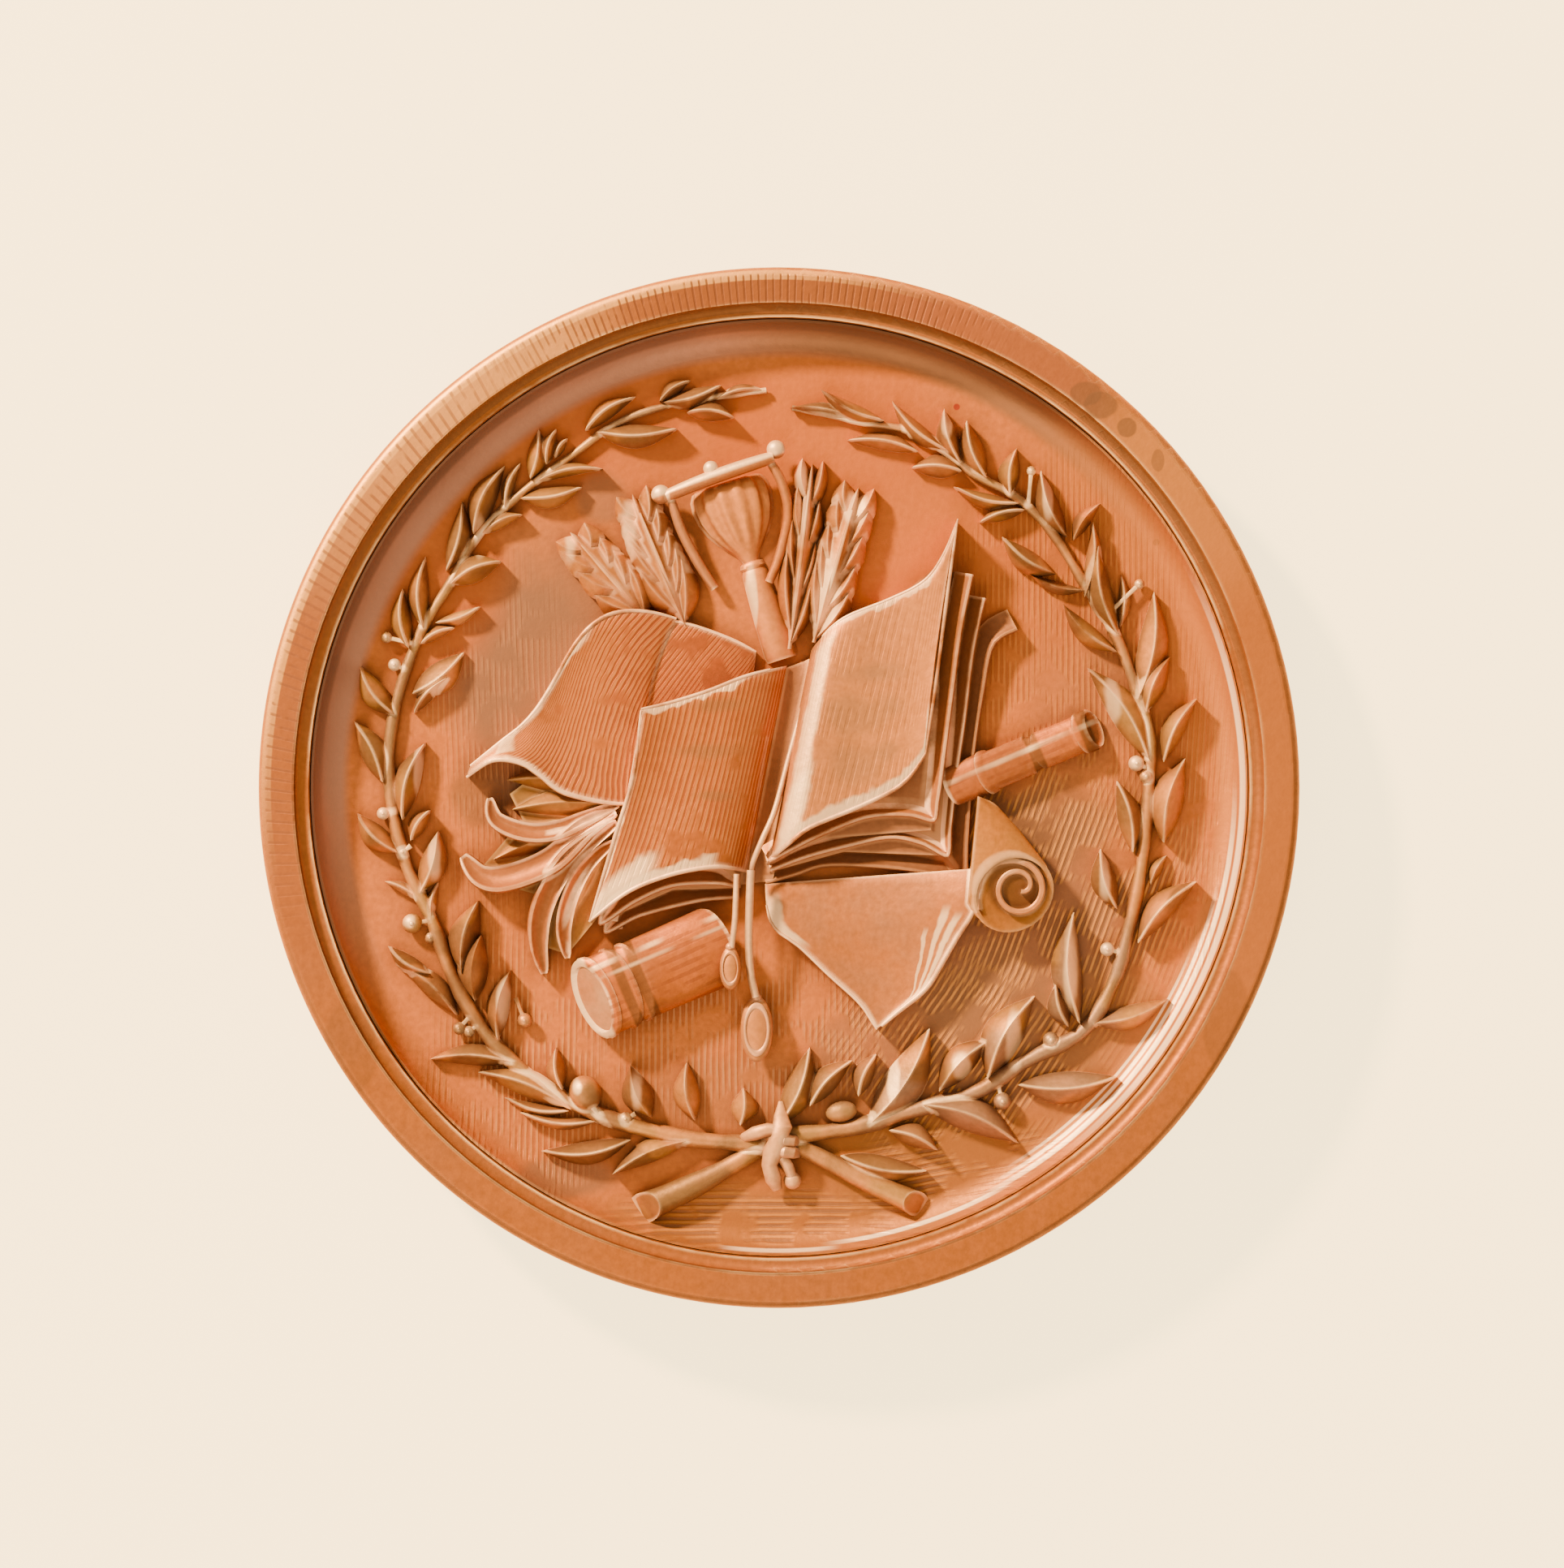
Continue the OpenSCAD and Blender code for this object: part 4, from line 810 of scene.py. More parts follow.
EDGE_LEFT_2 = (
    (-24.6, -8.0, 58), (-26.6, -15.0, 58), (-28.0, -21.4, 58), (-22.1, -17.9, 62), (-16.6, -15.6, 62),
    (-10.0, -15.2, 60), (-6.6, -15.8, 44),
)
EDGE_LEFT_COVER = (
    (-25.0, -14.0, 34), (-27.4, -22.6, 34), (-21.4, -20.2, 36), (-12.6, -18.0, 36), (-6.2, -17.4, 28),
)
# the outline of each block of leaves, x and y in percent
BLOCK_RIGHT_2 = (
    (-1.6, -11.6), (7, -7.9), (23.6, -6.6), (25.2, 3.0), (27.4, 20.0), (29.4, 31.5), (25.2, 35.0),
    (14, 26), (5.5, 18),
)
BLOCK_RIGHT_3 = (
    (-1.6, -13.2), (10, -10.0), (25.8, -10.6), (27.6, 3.0), (30.0, 20.0), (31.4, 28.0), (20, 20), (6, 10),
)
BLOCK_LEFT = (
    (-6.0, -15.6), (-16.6, -15.9), (-27.0, -20.6), (-24.0, -6.0), (-21.0, 9.0), (-10, 8), (-2, 8),
)
HEM_DROP = 0.105  # how far a sheet's hem is softened down, in mm
# across and up from a leaf's edge in mm: its lip, as far as the fall into shadow
LIP = [(0, -4), (0, -0.3), (-0.03, -0.1), (-0.1, 0), (-0.2, 0), (-0.32, -0.1), (-0.5, -0.32)]


def at(x, y, height=0.0):
    """A place on the trophy, in percent of its width and of the relief's height."""
    return Vector((x * PCT, y * PCT, FIELD_Z + height * RISE))


def cast_sheet(bm, rows, across, along):
    """A sheet through ruled rows, with a softened hem, closed down to the field. UV follows the rows."""
    uv = bm.loops.layers.uv.verify()
    grid = bmesh.ops.create_grid(bm, x_segments=across, y_segments=along, size=0.5)["verts"]
    faces = faces_of(grid)
    for face in faces:
        for corner in face.loops:
            corner[uv].uv = (corner.vert.co.x + 0.5, corner.vert.co.y + 0.5)
    for vert in grid:
        u, v = vert.co.x + 0.5, vert.co.y + 0.5
        x0, y0, x1, y1, low, mid, high, bow = blend_rows(rows, u)
        arch = 4 * v * (1 - v)
        height = low * (1 - v) * (1 - 2 * v) + mid * arch + high * v * (2 * v - 1)
        length = math.hypot(x1 - x0, y1 - y0) or 1
        place = at(
            x0 + (x1 - x0) * v + bow * arch * (y1 - y0) / length,
            y0 + (y1 - y0) * v - bow * arch * (x1 - x0) / length,
            height,
        )
        place.z -= HEM_DROP if vert.is_boundary else 0.0
        vert.co = place
    down_to_field(bm, faces)


def smooth_run(points, count, size=1.0, taper=0.0):
    """Stations of x, y, height and size in mm along a smooth curve through points given in percent."""
    run = []
    for k in range(count + 1):
        x, y, height = blend_rows(points, k / count)
        run.append((x * PCT, y * PCT, height * RISE, size * (1 - taper * abs(2 * k / count - 1) ** 3)))
    return run


def leaf_edge(bm, points, inward):
    """The visible margin of a leaf under the page: a bright lip that falls away inwards into shadow."""
    add_bar(bm, smooth_run(points, 44), section=LIP + [(-inward, -0.7), (-inward, -4)])


def bead(bm, points, radius, count=40, taper=0.5):
    """A thin rounded line that stands on an edge, or a cord."""
    add_bar(bm, smooth_run(points, count, radius, taper), sides=10, flat=1.0)


def filling(bm, outline, height):
    """A low block of leaves that shows only as the dark depth between two margins."""
    block = bmesh.new()
    corners = bmesh.ops.create_circle(block, cap_ends=True, radius=1, segments=len(outline))["verts"]
    for vert, (x, y) in zip(corners, outline):
        vert.co = at(x, y, height)
    down_to_field(block, block.faces[:])
    add(bm, block)


def edge_of(rows, end, drop, first=0.0, last=1.0):
    """Points along the feet (end 0) or the heads (end 1) of ruled rows, a little under the surface."""
    points = []
    for k in range(15):
        row = blend_rows(rows, first + (last - first) * k / 14)
        points.append((row[2 * end], row[2 * end + 1], row[4 + 2 * end] - drop))
    return points


def axes_of(finish, place):
    """The X, Y and Z of a place, each by its letter."""
    return node_of(finish.node_tree, "SeparateXYZ", {"Vector": place}).outputs


def uv_band(finish, axis, middle, half, low, high, ragged=0.05):
    """A stripe on a sheet, at one place on a UV axis, between two places on the other."""
    place = axes_of(finish, object_place(finish, 0, "UV"))
    here, there = place[axis], place["Y" if axis == "X" else "X"]
    wavering = joined(finish, "ADD", here, swing(finish, noise_on(finish, 900), 2 * ragged))
    off = joined(finish, "ABSOLUTE", joined(finish, "SUBTRACT", wavering, middle))
    begun = ranged(finish, there, low - 0.06, low + 0.04)
    ended = ranged(finish, there, high + 0.06, high - 0.04)
    along = joined(finish, "MULTIPLY", begun, ended)
    return joined(finish, "MULTIPLY", ranged(finish, off, half, 0.45 * half), along)


def paint_highlights(finish, margins, ragged=0.05):
    """Paints highlights on a sheet in stripes: axis across the stripe, its place and half width, where it
    starts and ends, and strength."""
    for axis, middle, half, low, high, share in margins:
        cover(finish, uv_band(finish, axis, middle, half, low, high, ragged), CREAM, share)


PAPER_RUBBED, RIDGE = (1.0, 0.60, 0.34), (0.58, 0.195, 0.050)
page_finish = bronze(
    "page_bronze", (0.60, 0.198, 0.050), PAPER_RUBBED, tarnish=(0.308, 0.119, 0.052), amounts=(0.4, 0.9, 0.9))
left_page_finish = bronze(
    "left_page_bronze", (0.36, 0.088, 0.013), PAPER_RUBBED, tarnish=(0.28, 0.087, 0.032),
    amounts=(0.4, 0.9, 0.9))
chase(left_page_finish, "UV", 5, 9.0, (0.294, 0.062, 0.015), 0.65, 1.6, 1.0, ridge=RIDGE, gaps=0.33)
chase(page_finish, "UV", 3, 9.0, (0.42, 0.14, 0.045), 0.3, 1.0, 0.9)
# faint smudges of patina: x, y, half width and half height in mm
for finish, colour, share, smudges in (
    (page_finish, (0.27, 0.140, 0.068), 0.36, (
        (4.3, 4.3, 1.5, 1.0), (4.6, 1.5, 1.4, 1.1), (5.8, 7.1, 1.5, 0.6), (6.6, 2.1, 0.6, 0.7),
        (7.0, 5.0, 0.8, 0.8),
    )),
    (left_page_finish, (0.21, 0.091, 0.035), 0.45, (
        (-4.1, 5.1, 1.5, 0.4), (-4.8, 2.3, 1.9, 0.45), (-4.2, -0.5, 1.1, 0.3),
    )),
):
    for x, y, half_x, half_y in smudges:
        cover(finish, spot_mask(finish, x, y, half_x, half_y, 1.2, 1.2), colour, share)
# painted highlights along the page's crest by the gutter, its foot, its fore edge and its head
paint_highlights(page_finish, (
    ("X", 0.26, 0.13, 0.0, 0.30, 0.75), ("X", 0.25, 0.10, 0.25, 0.95, 0.55),
    ("Y", 0.01, 0.06, 0.33, 1.0, 0.75), ("X", 0.985, 0.03, 0.0, 0.2, 0.7),
    ("Y", 0.99, 0.03, 0.40, 0.8, 0.5),
))
# painted highlights along the page's outer edge, its foot and lower corner, and its head
paint_highlights(left_page_finish, (
    ("X", 0.0, 0.035, 0.0, 0.9, 0.7), ("Y", 0.02, 0.05, 0.0, 0.6, 0.75),
    ("Y", 0.07, 0.14, 0.0, 0.28, 0.75), ("Y", 0.99, 0.03, 0.05, 0.6, 0.6),
))
edge_finish = bronze(
    "page_edge_bronze", (0.42, 0.126, 0.027), (1.0, 0.59, 0.33), hollow=(0.115, 0.040, 0.018),
    amounts=(0.4, 1.0, 0.9))
# painted shade: a dark bronze for the gutter, the low blocks between the leaves and the lower cover's edge,
# deep in the book; its edges still wear paler
depth_shade_finish = bronze(
    "depth_shade_bronze", (0.30, 0.110, 0.044), (0.60, 0.28, 0.12), hollow=(0.10, 0.036, 0.018),
    amounts=(0.3, 0.7, 0.8))
cord_finish = bronze(
    "cord_bronze", (0.807, 0.442, 0.212), (1.0, 0.62, 0.38), tarnish=(0.434, 0.168, 0.063),
    amounts=(0.5, 0.5, 0.9))
right_leaf, left_leaf, margins, covers, marker = [bmesh.new() for k in range(5)]
cast_sheet(right_leaf, RIGHT_PAGE, 34, 26)
cast_sheet(left_leaf, LEFT_PAGE, 32, 24)
cast_sheet(covers, GUTTER, 8, 20)
leaf_edge(margins, EDGE_RIGHT_2, 1.2)
leaf_edge(margins, EDGE_RIGHT_3, 1.2)
filling(covers, BLOCK_RIGHT_2, 44)
filling(covers, BLOCK_RIGHT_3, 26)
filling(covers, BLOCK_LEFT, 38)
leaf_edge(margins, EDGE_LEFT_2, 1.2)
leaf_edge(covers, EDGE_RIGHT_COVER, 1.5)
leaf_edge(margins, EDGE_LEFT_COVER, 1.2)
# raised lips round the two pages: along the feet, the heads and the outer edges
bead(margins, edge_of(RIGHT_PAGE, 0, 5), 0.15)
bead(margins, edge_of(LEFT_PAGE, 0, 5), 0.15)
bead(margins, edge_of(RIGHT_PAGE, 1, 5, 0.2), 0.10)
bead(margins, edge_of(LEFT_PAGE, 1, 4, 0.0, 0.8), 0.11)
bead(margins, ((22.7, 5.4, 78), (24.4, 17.0, 80), (26.0, 29.5, 88), (27.6, 41.4, 97)), 0.11)
bead(margins, ((-29.4, -20.7, 70), (-25.6, -8.0, 78), (-22.6, 2.0, 82), (-21.4, 12.0, 84)), 0.12)
# the marker ribbon lies in the gutter
bead(marker, (
    (3.5, 12.2, 34), (1.6, 5.0, 46), (-0.6, -3.3, 60), (-2.6, -8.0, 66), (-4.0, -11.4, 64), (-4.4, -13.6, 60),
), 0.19)
book_parts = [
    (right_leaf, page_finish), (left_leaf, left_page_finish), (margins, edge_finish),
    (covers, depth_shade_finish), (marker, cord_finish),
]
cast_piece("book_of_learning", book_parts, ["open_book"])


# The parchment: one large sheet behind the book, folded once, with its left end drawn out to
# a curled point. It is cast in bronze on the field, with raised hems, and chased with strokes
# that follow the fall of the sheet.
PARCHMENT_BACK = (
    (-23.5, 2.0, -19.5, 26.6, 34, 38, 36, -0.5), (-17.0, 4.0, -13.5, 25.3, 32, 36, 34, 0.0),
    (-11.0, 6.0, -7.6, 23.2, 26, 30, 28, 0.0), (-5.0, 8.0, -3.6, 21.2, 18, 20, 20, 0.0),
)
PARCHMENT_FRONT = (
    (-48.6, 1.6, -48.0, 3.4, 54, 56, 56, 0.0), (-44.6, 4.2, -43.4, 7.0, 72, 68, 66, 0.0),
    (-40.3, 3.9, -39.0, 10.6, 76, 66, 64, 0.0), (-37.2, 2.0, -35.6, 15.4, 72, 60, 64, -0.2),
    (-34.0, -0.5, -32.9, 20.4, 66, 56, 66, -0.6), (-29.2, -1.9, -29.8, 24.6, 60, 56, 68, -1.6),
    (-24.6, -2.5, -25.8, 27.1, 56, 58, 64, -2.6), (-21.5, -2.0, -20.6, 27.4, 52, 56, 54, -2.4),
    (-20.0, -1.0, -16.0, 26.3, 44, 48, 40, -2.6),
)
SHEET_RUBBED = (1.0, 0.59, 0.33)
parchment_finish = bronze(
    "parchment_bronze", (0.39, 0.098, 0.016), SHEET_RUBBED, tarnish=(0.294, 0.091, 0.035),
    amounts=(0.4, 0.9, 0.9))
# painted shade along the fold, at the upper right of the front sheet
crease_shade = uv_band(parchment_finish, "X", 0.90, 0.16, 0.5, 1.0, 0.02)
cover(parchment_finish, crease_shade, (0.35, 0.07, 0.014), 0.5)
chase(parchment_finish, "UV", 20, 12.0, (0.266, 0.055, 0.014), 0.7, 1.8, 2.4, ridge=RIDGE, gaps=0.31)
# painted highlights along the parchment's hems and at its left end
paint_highlights(parchment_finish, (
    ("Y", 0.03, 0.06, 0.08, 0.32, 0.5), ("Y", 0.97, 0.06, 0.12, 0.62, 0.6), ("X", 0.16, 0.05, 0.3, 1.0, 0.5),
))
fold_finish = bronze(
    "fold_bronze", (0.33, 0.066, 0.011), SHEET_RUBBED, tarnish=(0.294, 0.084, 0.028),
    amounts=(0.4, 0.8, 0.9))
fold_ridge = (0.56, 0.185, 0.048)
chase(fold_finish, "UV", 30, 9.0, (0.266, 0.055, 0.013), 0.5, 1.4, 1.0, ridge=fold_ridge, gaps=0.35)
back_sheet, front_sheet, hems = [bmesh.new() for k in range(3)]
cast_sheet(back_sheet, PARCHMENT_BACK, 20, 14)
cast_sheet(front_sheet, PARCHMENT_FRONT, 40, 22)
bead(hems, edge_of(PARCHMENT_FRONT, 0, 5, 0.0, 0.8), 0.17)
bead(hems, edge_of(PARCHMENT_FRONT, 1, 4), 0.14)
bead(hems, edge_of(PARCHMENT_BACK, 1, 4), 0.10)
parchment_parts = [(front_sheet, parchment_finish), (back_sheet, fold_finish), (hems, edge_finish)]
cast_piece("parchment_sheet", parchment_parts, ["parchment"])


# The curled leaves: four loose leaves of paper that roll out from under the book at the left,
# each a trough with a bright lip, over smaller leaves that lie flat between them. They are cast
# in bronze on the field, and dark patina is left in their troughs.

# x, y, height in percent
CURLS = (
    (
        (-45.0, -1.6, 58), (-44.0, -5.0, 62), (-39.6, -6.9, 62), (-34.9, -6.8, 60), (-30.1, -4.9, 56),
        (-25.0, -2.6, 50),
    ),
    (
        (-49.2, -10.6, 52), (-46.4, -13.8, 66), (-42.3, -14.1, 72), (-35.5, -11.4, 72), (-30.0, -6.4, 66),
        (-25.4, -3.8, 58),
    ),
    (
        (-25.2, -5.4, 60), (-30.0, -8.6, 66), (-33.9, -12.6, 68), (-36.9, -18.8, 64), (-37.5, -24.2, 54),
        (-36.6, -29.0, 34),
    ),
    (
        (-25.8, -8.4, 50), (-30.0, -12.0, 54), (-32.6, -17.0, 52), (-33.6, -22.0, 44), (-33.0, -26.6, 30),
    ),
)
# half the width of each curl in mm, and the trough that it is, across and up in half widths
CURL_HALVES = (0.62, 0.85, 0.72, 0.55)
TROUGH = [
    (1, -6), (1, -0.3), (0.86, 0), (0.62, 0.02), (0.3, -0.45), (-0.2, -0.75), (-0.7, -0.72), (-1, -0.5),
    (-1.1, -6),
]
# the outline of the low ground between the curls, x and y in percent
CURL_WEB = (
    (-24.4, -2), (-38, 2), (-42, -1), (-40, -5), (-46, -12), (-42, -15.5), (-36.5, -17), (-36, -25),
    (-33, -26), (-26.5, -18),
)
curls, web = bmesh.new(), bmesh.new()
for points, half in zip(CURLS, CURL_HALVES):
    add_bar(curls, smooth_run(points, 34, half, 0.72), section=TROUGH)
filling(web, CURL_WEB, 22)
# foot x, foot y, tip x, tip y in percent, width and crown in mm
for x, y, tip_x, tip_y, width, crown in (
    (-24, 0, -42.4, 1.2, 2.1, 1.65), (-24, -3, -41.6, -3.4, 1.9, 1.35),
    (-27, -6, -44.5, -11.2, 1.8, 1.3), (-27, -9, -34.5, -23, 1.5, 1.1),
):
    blade(web, (x * PCT, y * PCT), (tip_x * PCT, tip_y * PCT), width, crown, 0.8, -0.4, 0.1)
curl_finish = bronze(
    "curl_bronze", (0.448, 0.133, 0.035), SHEET_RUBBED, hollow=(0.056, 0.014, 0.007),
    amounts=(0.4, 1.0, 1.0))
olive_finish = bronze(
    "olive_bronze", (0.392, 0.147, 0.025), (0.63, 0.364, 0.154), tarnish=(0.21, 0.119, 0.035),
    amounts=(0.6, 0.7, 0.9))
cast_piece("loose_curled_leaves", [(curls, curl_finish), (web, olive_finish)], ["curled_leaves"])


# The telescope: a drawn-out spyglass that passes behind the book. Its tubes are turned forms
# with ring mounts, cast in bronze on the field and tilted, so that their open mouths show.
def turned_tube(start, end, stations, radius, tilt, flat, lifts, sides=40, flutes=0):
    """A lying lathe form in low relief. Stations give share of the length, share of the radius, and 1
    once the wall reaches the field. The lifts are the heights of its two ends in mm."""
    bm = bmesh.new()
    a, b = at(*start), at(*end)
    heading = (b - a).normalized()
    across = Vector((-heading.y, heading.x, 0))
    lean, rise = math.sin(math.radians(tilt)), flat * math.cos(math.radians(tilt))
    up = lean * heading + Vector((0, 0, rise))
    rings = []
    for share, size, grounded in stations:
        centre = a.lerp(b, share)
        centre.z += lifts[0] + (lifts[1] - lifts[0]) * share
        fluting = FLUTE_DEPTH if flutes and size > 0.6 else 0
        ring = []
        for k in range(sides):
            angle = 2 * math.pi * k / sides
            r = radius * size * (1 + fluting * math.cos(flutes * angle))
            place = centre + r * math.cos(angle) * across + r * math.sin(angle) * up
            if grounded and math.sin(angle) < -0.001:
                place.z = FIELD_Z - 0.6
            ring.append(place)
        rings.append(ring)
    sweep_rings(bm, rings)
    return bm


# how deep a flute is, as a share of the radius
FLUTE_DEPTH = 0.045
BARREL = (
    (0.035, 0.02, 0), (0.035, 0.76, 0), (0.028, 0.80, 0), (-0.004, 0.84, 0), (-0.010, 0.93, 0),
    (0.0, 1.0, 0), (0.0, 1.0, 1), (0.016, 1.03, 1), (0.045, 1.02, 1), (0.055, 0.97, 1), (0.17, 0.97, 1),
    (0.18, 1.01, 1), (0.205, 1.02, 1), (0.225, 0.99, 1), (0.235, 0.94, 1), (0.29, 0.93, 1),
    (0.30, 0.98, 1), (0.325, 0.99, 1), (0.345, 0.95, 1), (0.60, 0.96, 1), (0.97, 0.98, 1), (1.0, 0.94, 1),
)
BARREL_LENS = ((0.05, 0.80, 0), (0.014, 0.80, 0), (0.010, 0.74, 0), (0.008, 0.02, 0))
EYEPIECE = (
    (0.06, 0.02, 0), (0.06, 0.58, 0), (0.01, 0.70, 0), (-0.005, 0.86, 0), (0.0, 0.94, 1),
    (0.02, 0.98, 1), (0.085, 0.98, 1), (0.10, 0.88, 1), (0.12, 0.86, 1), (0.40, 0.86, 1), (0.41, 0.80, 1),
    (0.46, 0.80, 1), (0.47, 0.89, 1), (0.74, 0.91, 1), (0.75, 0.97, 1), (0.77, 1.02, 1),
    (0.80, 1.03, 1), (0.81, 0.96, 1), (0.93, 0.94, 1), (1.05, 0.88, 1),
)
# the barrel's two ends in percent, then radius in mm, tilt in degrees, flatness and lifts
BARREL_START, BARREL_END, BARREL_SHAPE = (-28.9, -32.9), (-9.6, -24.6), (2.6, 24, 0.42, (1.67, 1.3))


def strip_mask(finish, place, low, high):
    """A mask between two places in mm on one axis."""
    begun = ranged(finish, place, 0.001 * low - 0.0001, 0.001 * low + 0.0001)
    ended = ranged(finish, place, 0.001 * high + 0.0001, 0.001 * high - 0.0001)
    return joined(finish, "MULTIPLY", begun, ended)


tube_finish = bronze("telescope_bronze", (0.455, 0.105, 0.014), SHEET_RUBBED, amounts=(0.4, 0.9, 0.9))
chase(tube_finish, "Object", 66, 560.0, (0.238, 0.052, 0.014), 0.55, 0.25, 0.1)
barrel, eyepiece = bmesh.new(), bmesh.new()
add_cut(barrel, turned_tube(BARREL_START, BARREL_END, BARREL, *BARREL_SHAPE))
lens = turned_tube(BARREL_START, BARREL_END, BARREL_LENS, *BARREL_SHAPE)
# the turned grooves hold dark patina, and the mouth has a painted highlight: their places along
# the tubes in mm
on_tube = axes_of(tube_finish, object_place(tube_finish, -23))
for low, high in ((-13.85, -13.2), (-12.75, -12.1), (15.0, 15.8), (18.4, 19.2)):
    cover(tube_finish, strip_mask(tube_finish, on_tube["X"], low, high), (0.091, 0.032, 0.011), 0.75)
cover(tube_finish, ranged(tube_finish, on_tube["X"], -0.0151, -0.0154), CREAM, 0.75)
# the backs of the tubes carry painted highlights in streaks: how far across from the origin, in mm, and
# strength
for low, high, share in ((-4.0, -3.7, 0.7), (-5.95, -5.65, 0.6), (-6.6, -6.4, 0.4)):
    streak = strip_mask(tube_finish, on_tube["Y"], low, high)
    broken = drift_mask(tube_finish, 300, 0.38, 0.60, low)
    cover(tube_finish, joined(tube_finish, "MULTIPLY", streak, broken), CREAM, share)
lens_finish = bronze(
    "lens_bronze", (0.54, 0.180, 0.055), CREAM, hollow=(0.21, 0.056, 0.021), amounts=(0.3, 0.3, 0.5))
cast_piece("telescope_body", [(barrel, tube_finish), (lens, lens_finish)], ["telescope_barrel"])
add_cut(eyepiece, turned_tube((49, 9.2), (28, 0.6), EYEPIECE, 1.36, 24, 0.5, (0.95, 0.95)))
cast_piece("telescope_draw_tube", [(eyepiece, tube_finish)], ["telescope_eyepiece"])


# The scroll: a sheet of vellum that hangs below the book to a point at the bottom, and winds
# up at the right into a roll whose end shows the spiral of its turns. It is cast in bronze on
# the field; the turns are raised, and dark patina lies between them.
SCROLL_SHEET = (
    (-2.2, -15.0, 31.6, -12.5, 24, 26, 60, 0.0), (-1.9, -18.9, 31.2, -16.0, 36, 30, 72, 0.0),
    (-0.6, -22.0, 29.8, -19.8, 42, 34, 68, 0.0), (3.1, -24.7, 27.9, -22.8, 42, 34, 60, 0.0),
    (7.6, -29.0, 25.7, -26.6, 40, 34, 54, 0.4), (12.4, -33.4, 22.9, -31.2, 40, 38, 48, 0.5),
    (14.4, -36.3, 18.6, -34.8, 42, 42, 46, 0.2), (15.2, -37.6, 15.9, -37.1, 44, 44, 44, 0.0),
)
ROLL = (
    (0.12, 0.02, 0), (0.12, 0.86, 0), (0.0, 0.90, 0), (-0.01, 0.96, 0), (0.0, 1.0, 0), (0.0, 1.0, 1),
    (0.05, 1.03, 1), (0.5, 1.0, 1), (0.85, 0.92, 1), (1.0, 0.75, 1),
)
# the middle of the roll's open end in percent; the coil's first radius in mm, the heading of its
# start in degrees, and how many turns it makes
ROLL_END = (36.3, -16.4)
COIL_R, COIL_START, COIL_TURNS, COIL_STEPS = 2.42, 205, 1.8, 80
COIL_SECTION = [(-1, -5), (-1, -0.3), (-0.5, 0.1), (0.5, 0.1), (1, -0.3), (1, -5)]
vellum_finish = bronze(
    "vellum_bronze", (0.47, 0.130, 0.023), PAPER_RUBBED, tarnish=(0.294, 0.14, 0.077),
    amounts=(0.5, 0.9, 0.9))
vellum, scroll_edges, roll, coil = [bmesh.new() for k in range(4)]
cast_sheet(vellum, SCROLL_SHEET, 26, 24)
bead(scroll_edges, edge_of(SCROLL_SHEET, 1, 3, 0.12), 0.17)
bead(scroll_edges, edge_of(SCROLL_SHEET, 0, 3, 0.12), 0.11)
body = turned_tube(ROLL_END, (28.5, -5.5), ROLL, 2.62, 62, 0.42, (2.15, 1.2))
saw(body, at(29.8, -12), (-1, 0.1, 0), clear_outer=True)
add_cut(roll, body)
turns = []
for k in range(COIL_STEPS + 1):
    t = k / COIL_STEPS
    angle = math.radians(COIL_START - 360 * COIL_TURNS * t)
    r = COIL_R * (1 - 0.80 * t ** 0.8)
    middle = at(ROLL_END[0] + 1.1 * t, ROLL_END[1] + 1.5 * t)
    x, y = middle.x + r * math.cos(angle), middle.y + r * math.sin(angle)
    turns.append((x, y, 2.28 + 0.03 * r * math.sin(angle), 0.21 - 0.07 * t))
bar(coil, turns, COIL_SECTION)
roll_hollow = (0.09, 0.03, 0.013)
roll_finish = bronze(
    "roll_bronze", (0.43, 0.132, 0.016), (1.0, 0.56, 0.27), roll_hollow, (0.28, 0.133, 0.032),
    amounts=(0.5, 0.6, 1.0))
# painted shade in the open mouth of the roll
roll_mouth_shade = spot_mask(roll_finish, 14.65, -6.0, 1.9, 1.75, 0.3, 0.2)
cover(roll_finish, roll_mouth_shade, (0.105, 0.038, 0.015), 0.8)
GLASS_RUBBED = (1.0, 0.62, 0.34)
coil_finish = bronze(
    "coil_bronze", (0.56, 0.185, 0.045), GLASS_RUBBED, roll_hollow, amounts=(0.5, 0.35, 1.0))
# painted highlight strokes along the vellum's right edge, and one along its left edge
paint_highlights(vellum_finish, (
    ("Y", 0.86, 0.025, 0.25, 0.8, 0.7), ("Y", 0.93, 0.03, 0.3, 0.9, 0.75), ("Y", 0.78, 0.018, 0.4, 0.75, 0.6),
    ("Y", 0.97, 0.04, 0.0, 0.12, 0.8), ("Y", 0.03, 0.05, 0.1, 0.4, 0.7),
), 0.02)
scroll_parts = [
    (vellum, vellum_finish), (scroll_edges, edge_finish), (roll, roll_finish), (coil, coil_finish),
]
cast_piece("vellum_scroll", scroll_parts, ["scroll"])


# The hourglass: it leans behind the book, with a fluted upper bulb, a narrow waist and a plain
# lower bulb, between two posts that are pinned to a knobbed top bar. Glass and frame are both
# shown in cast bronze, with a painted highlight along the top of the bar and another down the
# lower bulb.
GLASS = (
    (0.0, 0.74, 1), (0.012, 0.88, 1), (0.05, 0.98, 1), (0.11, 1.0, 1), (0.18, 0.95, 1), (0.25, 0.83, 1),
    (0.31, 0.66, 1), (0.36, 0.48, 1), (0.40, 0.33, 1), (0.43, 0.24, 1), (0.445, 0.22, 1), (0.455, 0.30, 1),
    (0.475, 0.33, 1), (0.49, 0.28, 1), (0.51, 0.33, 1), (0.60, 0.36, 1), (0.78, 0.40, 1), (0.97, 0.42, 1),
    (1.0, 0.38, 1),
)
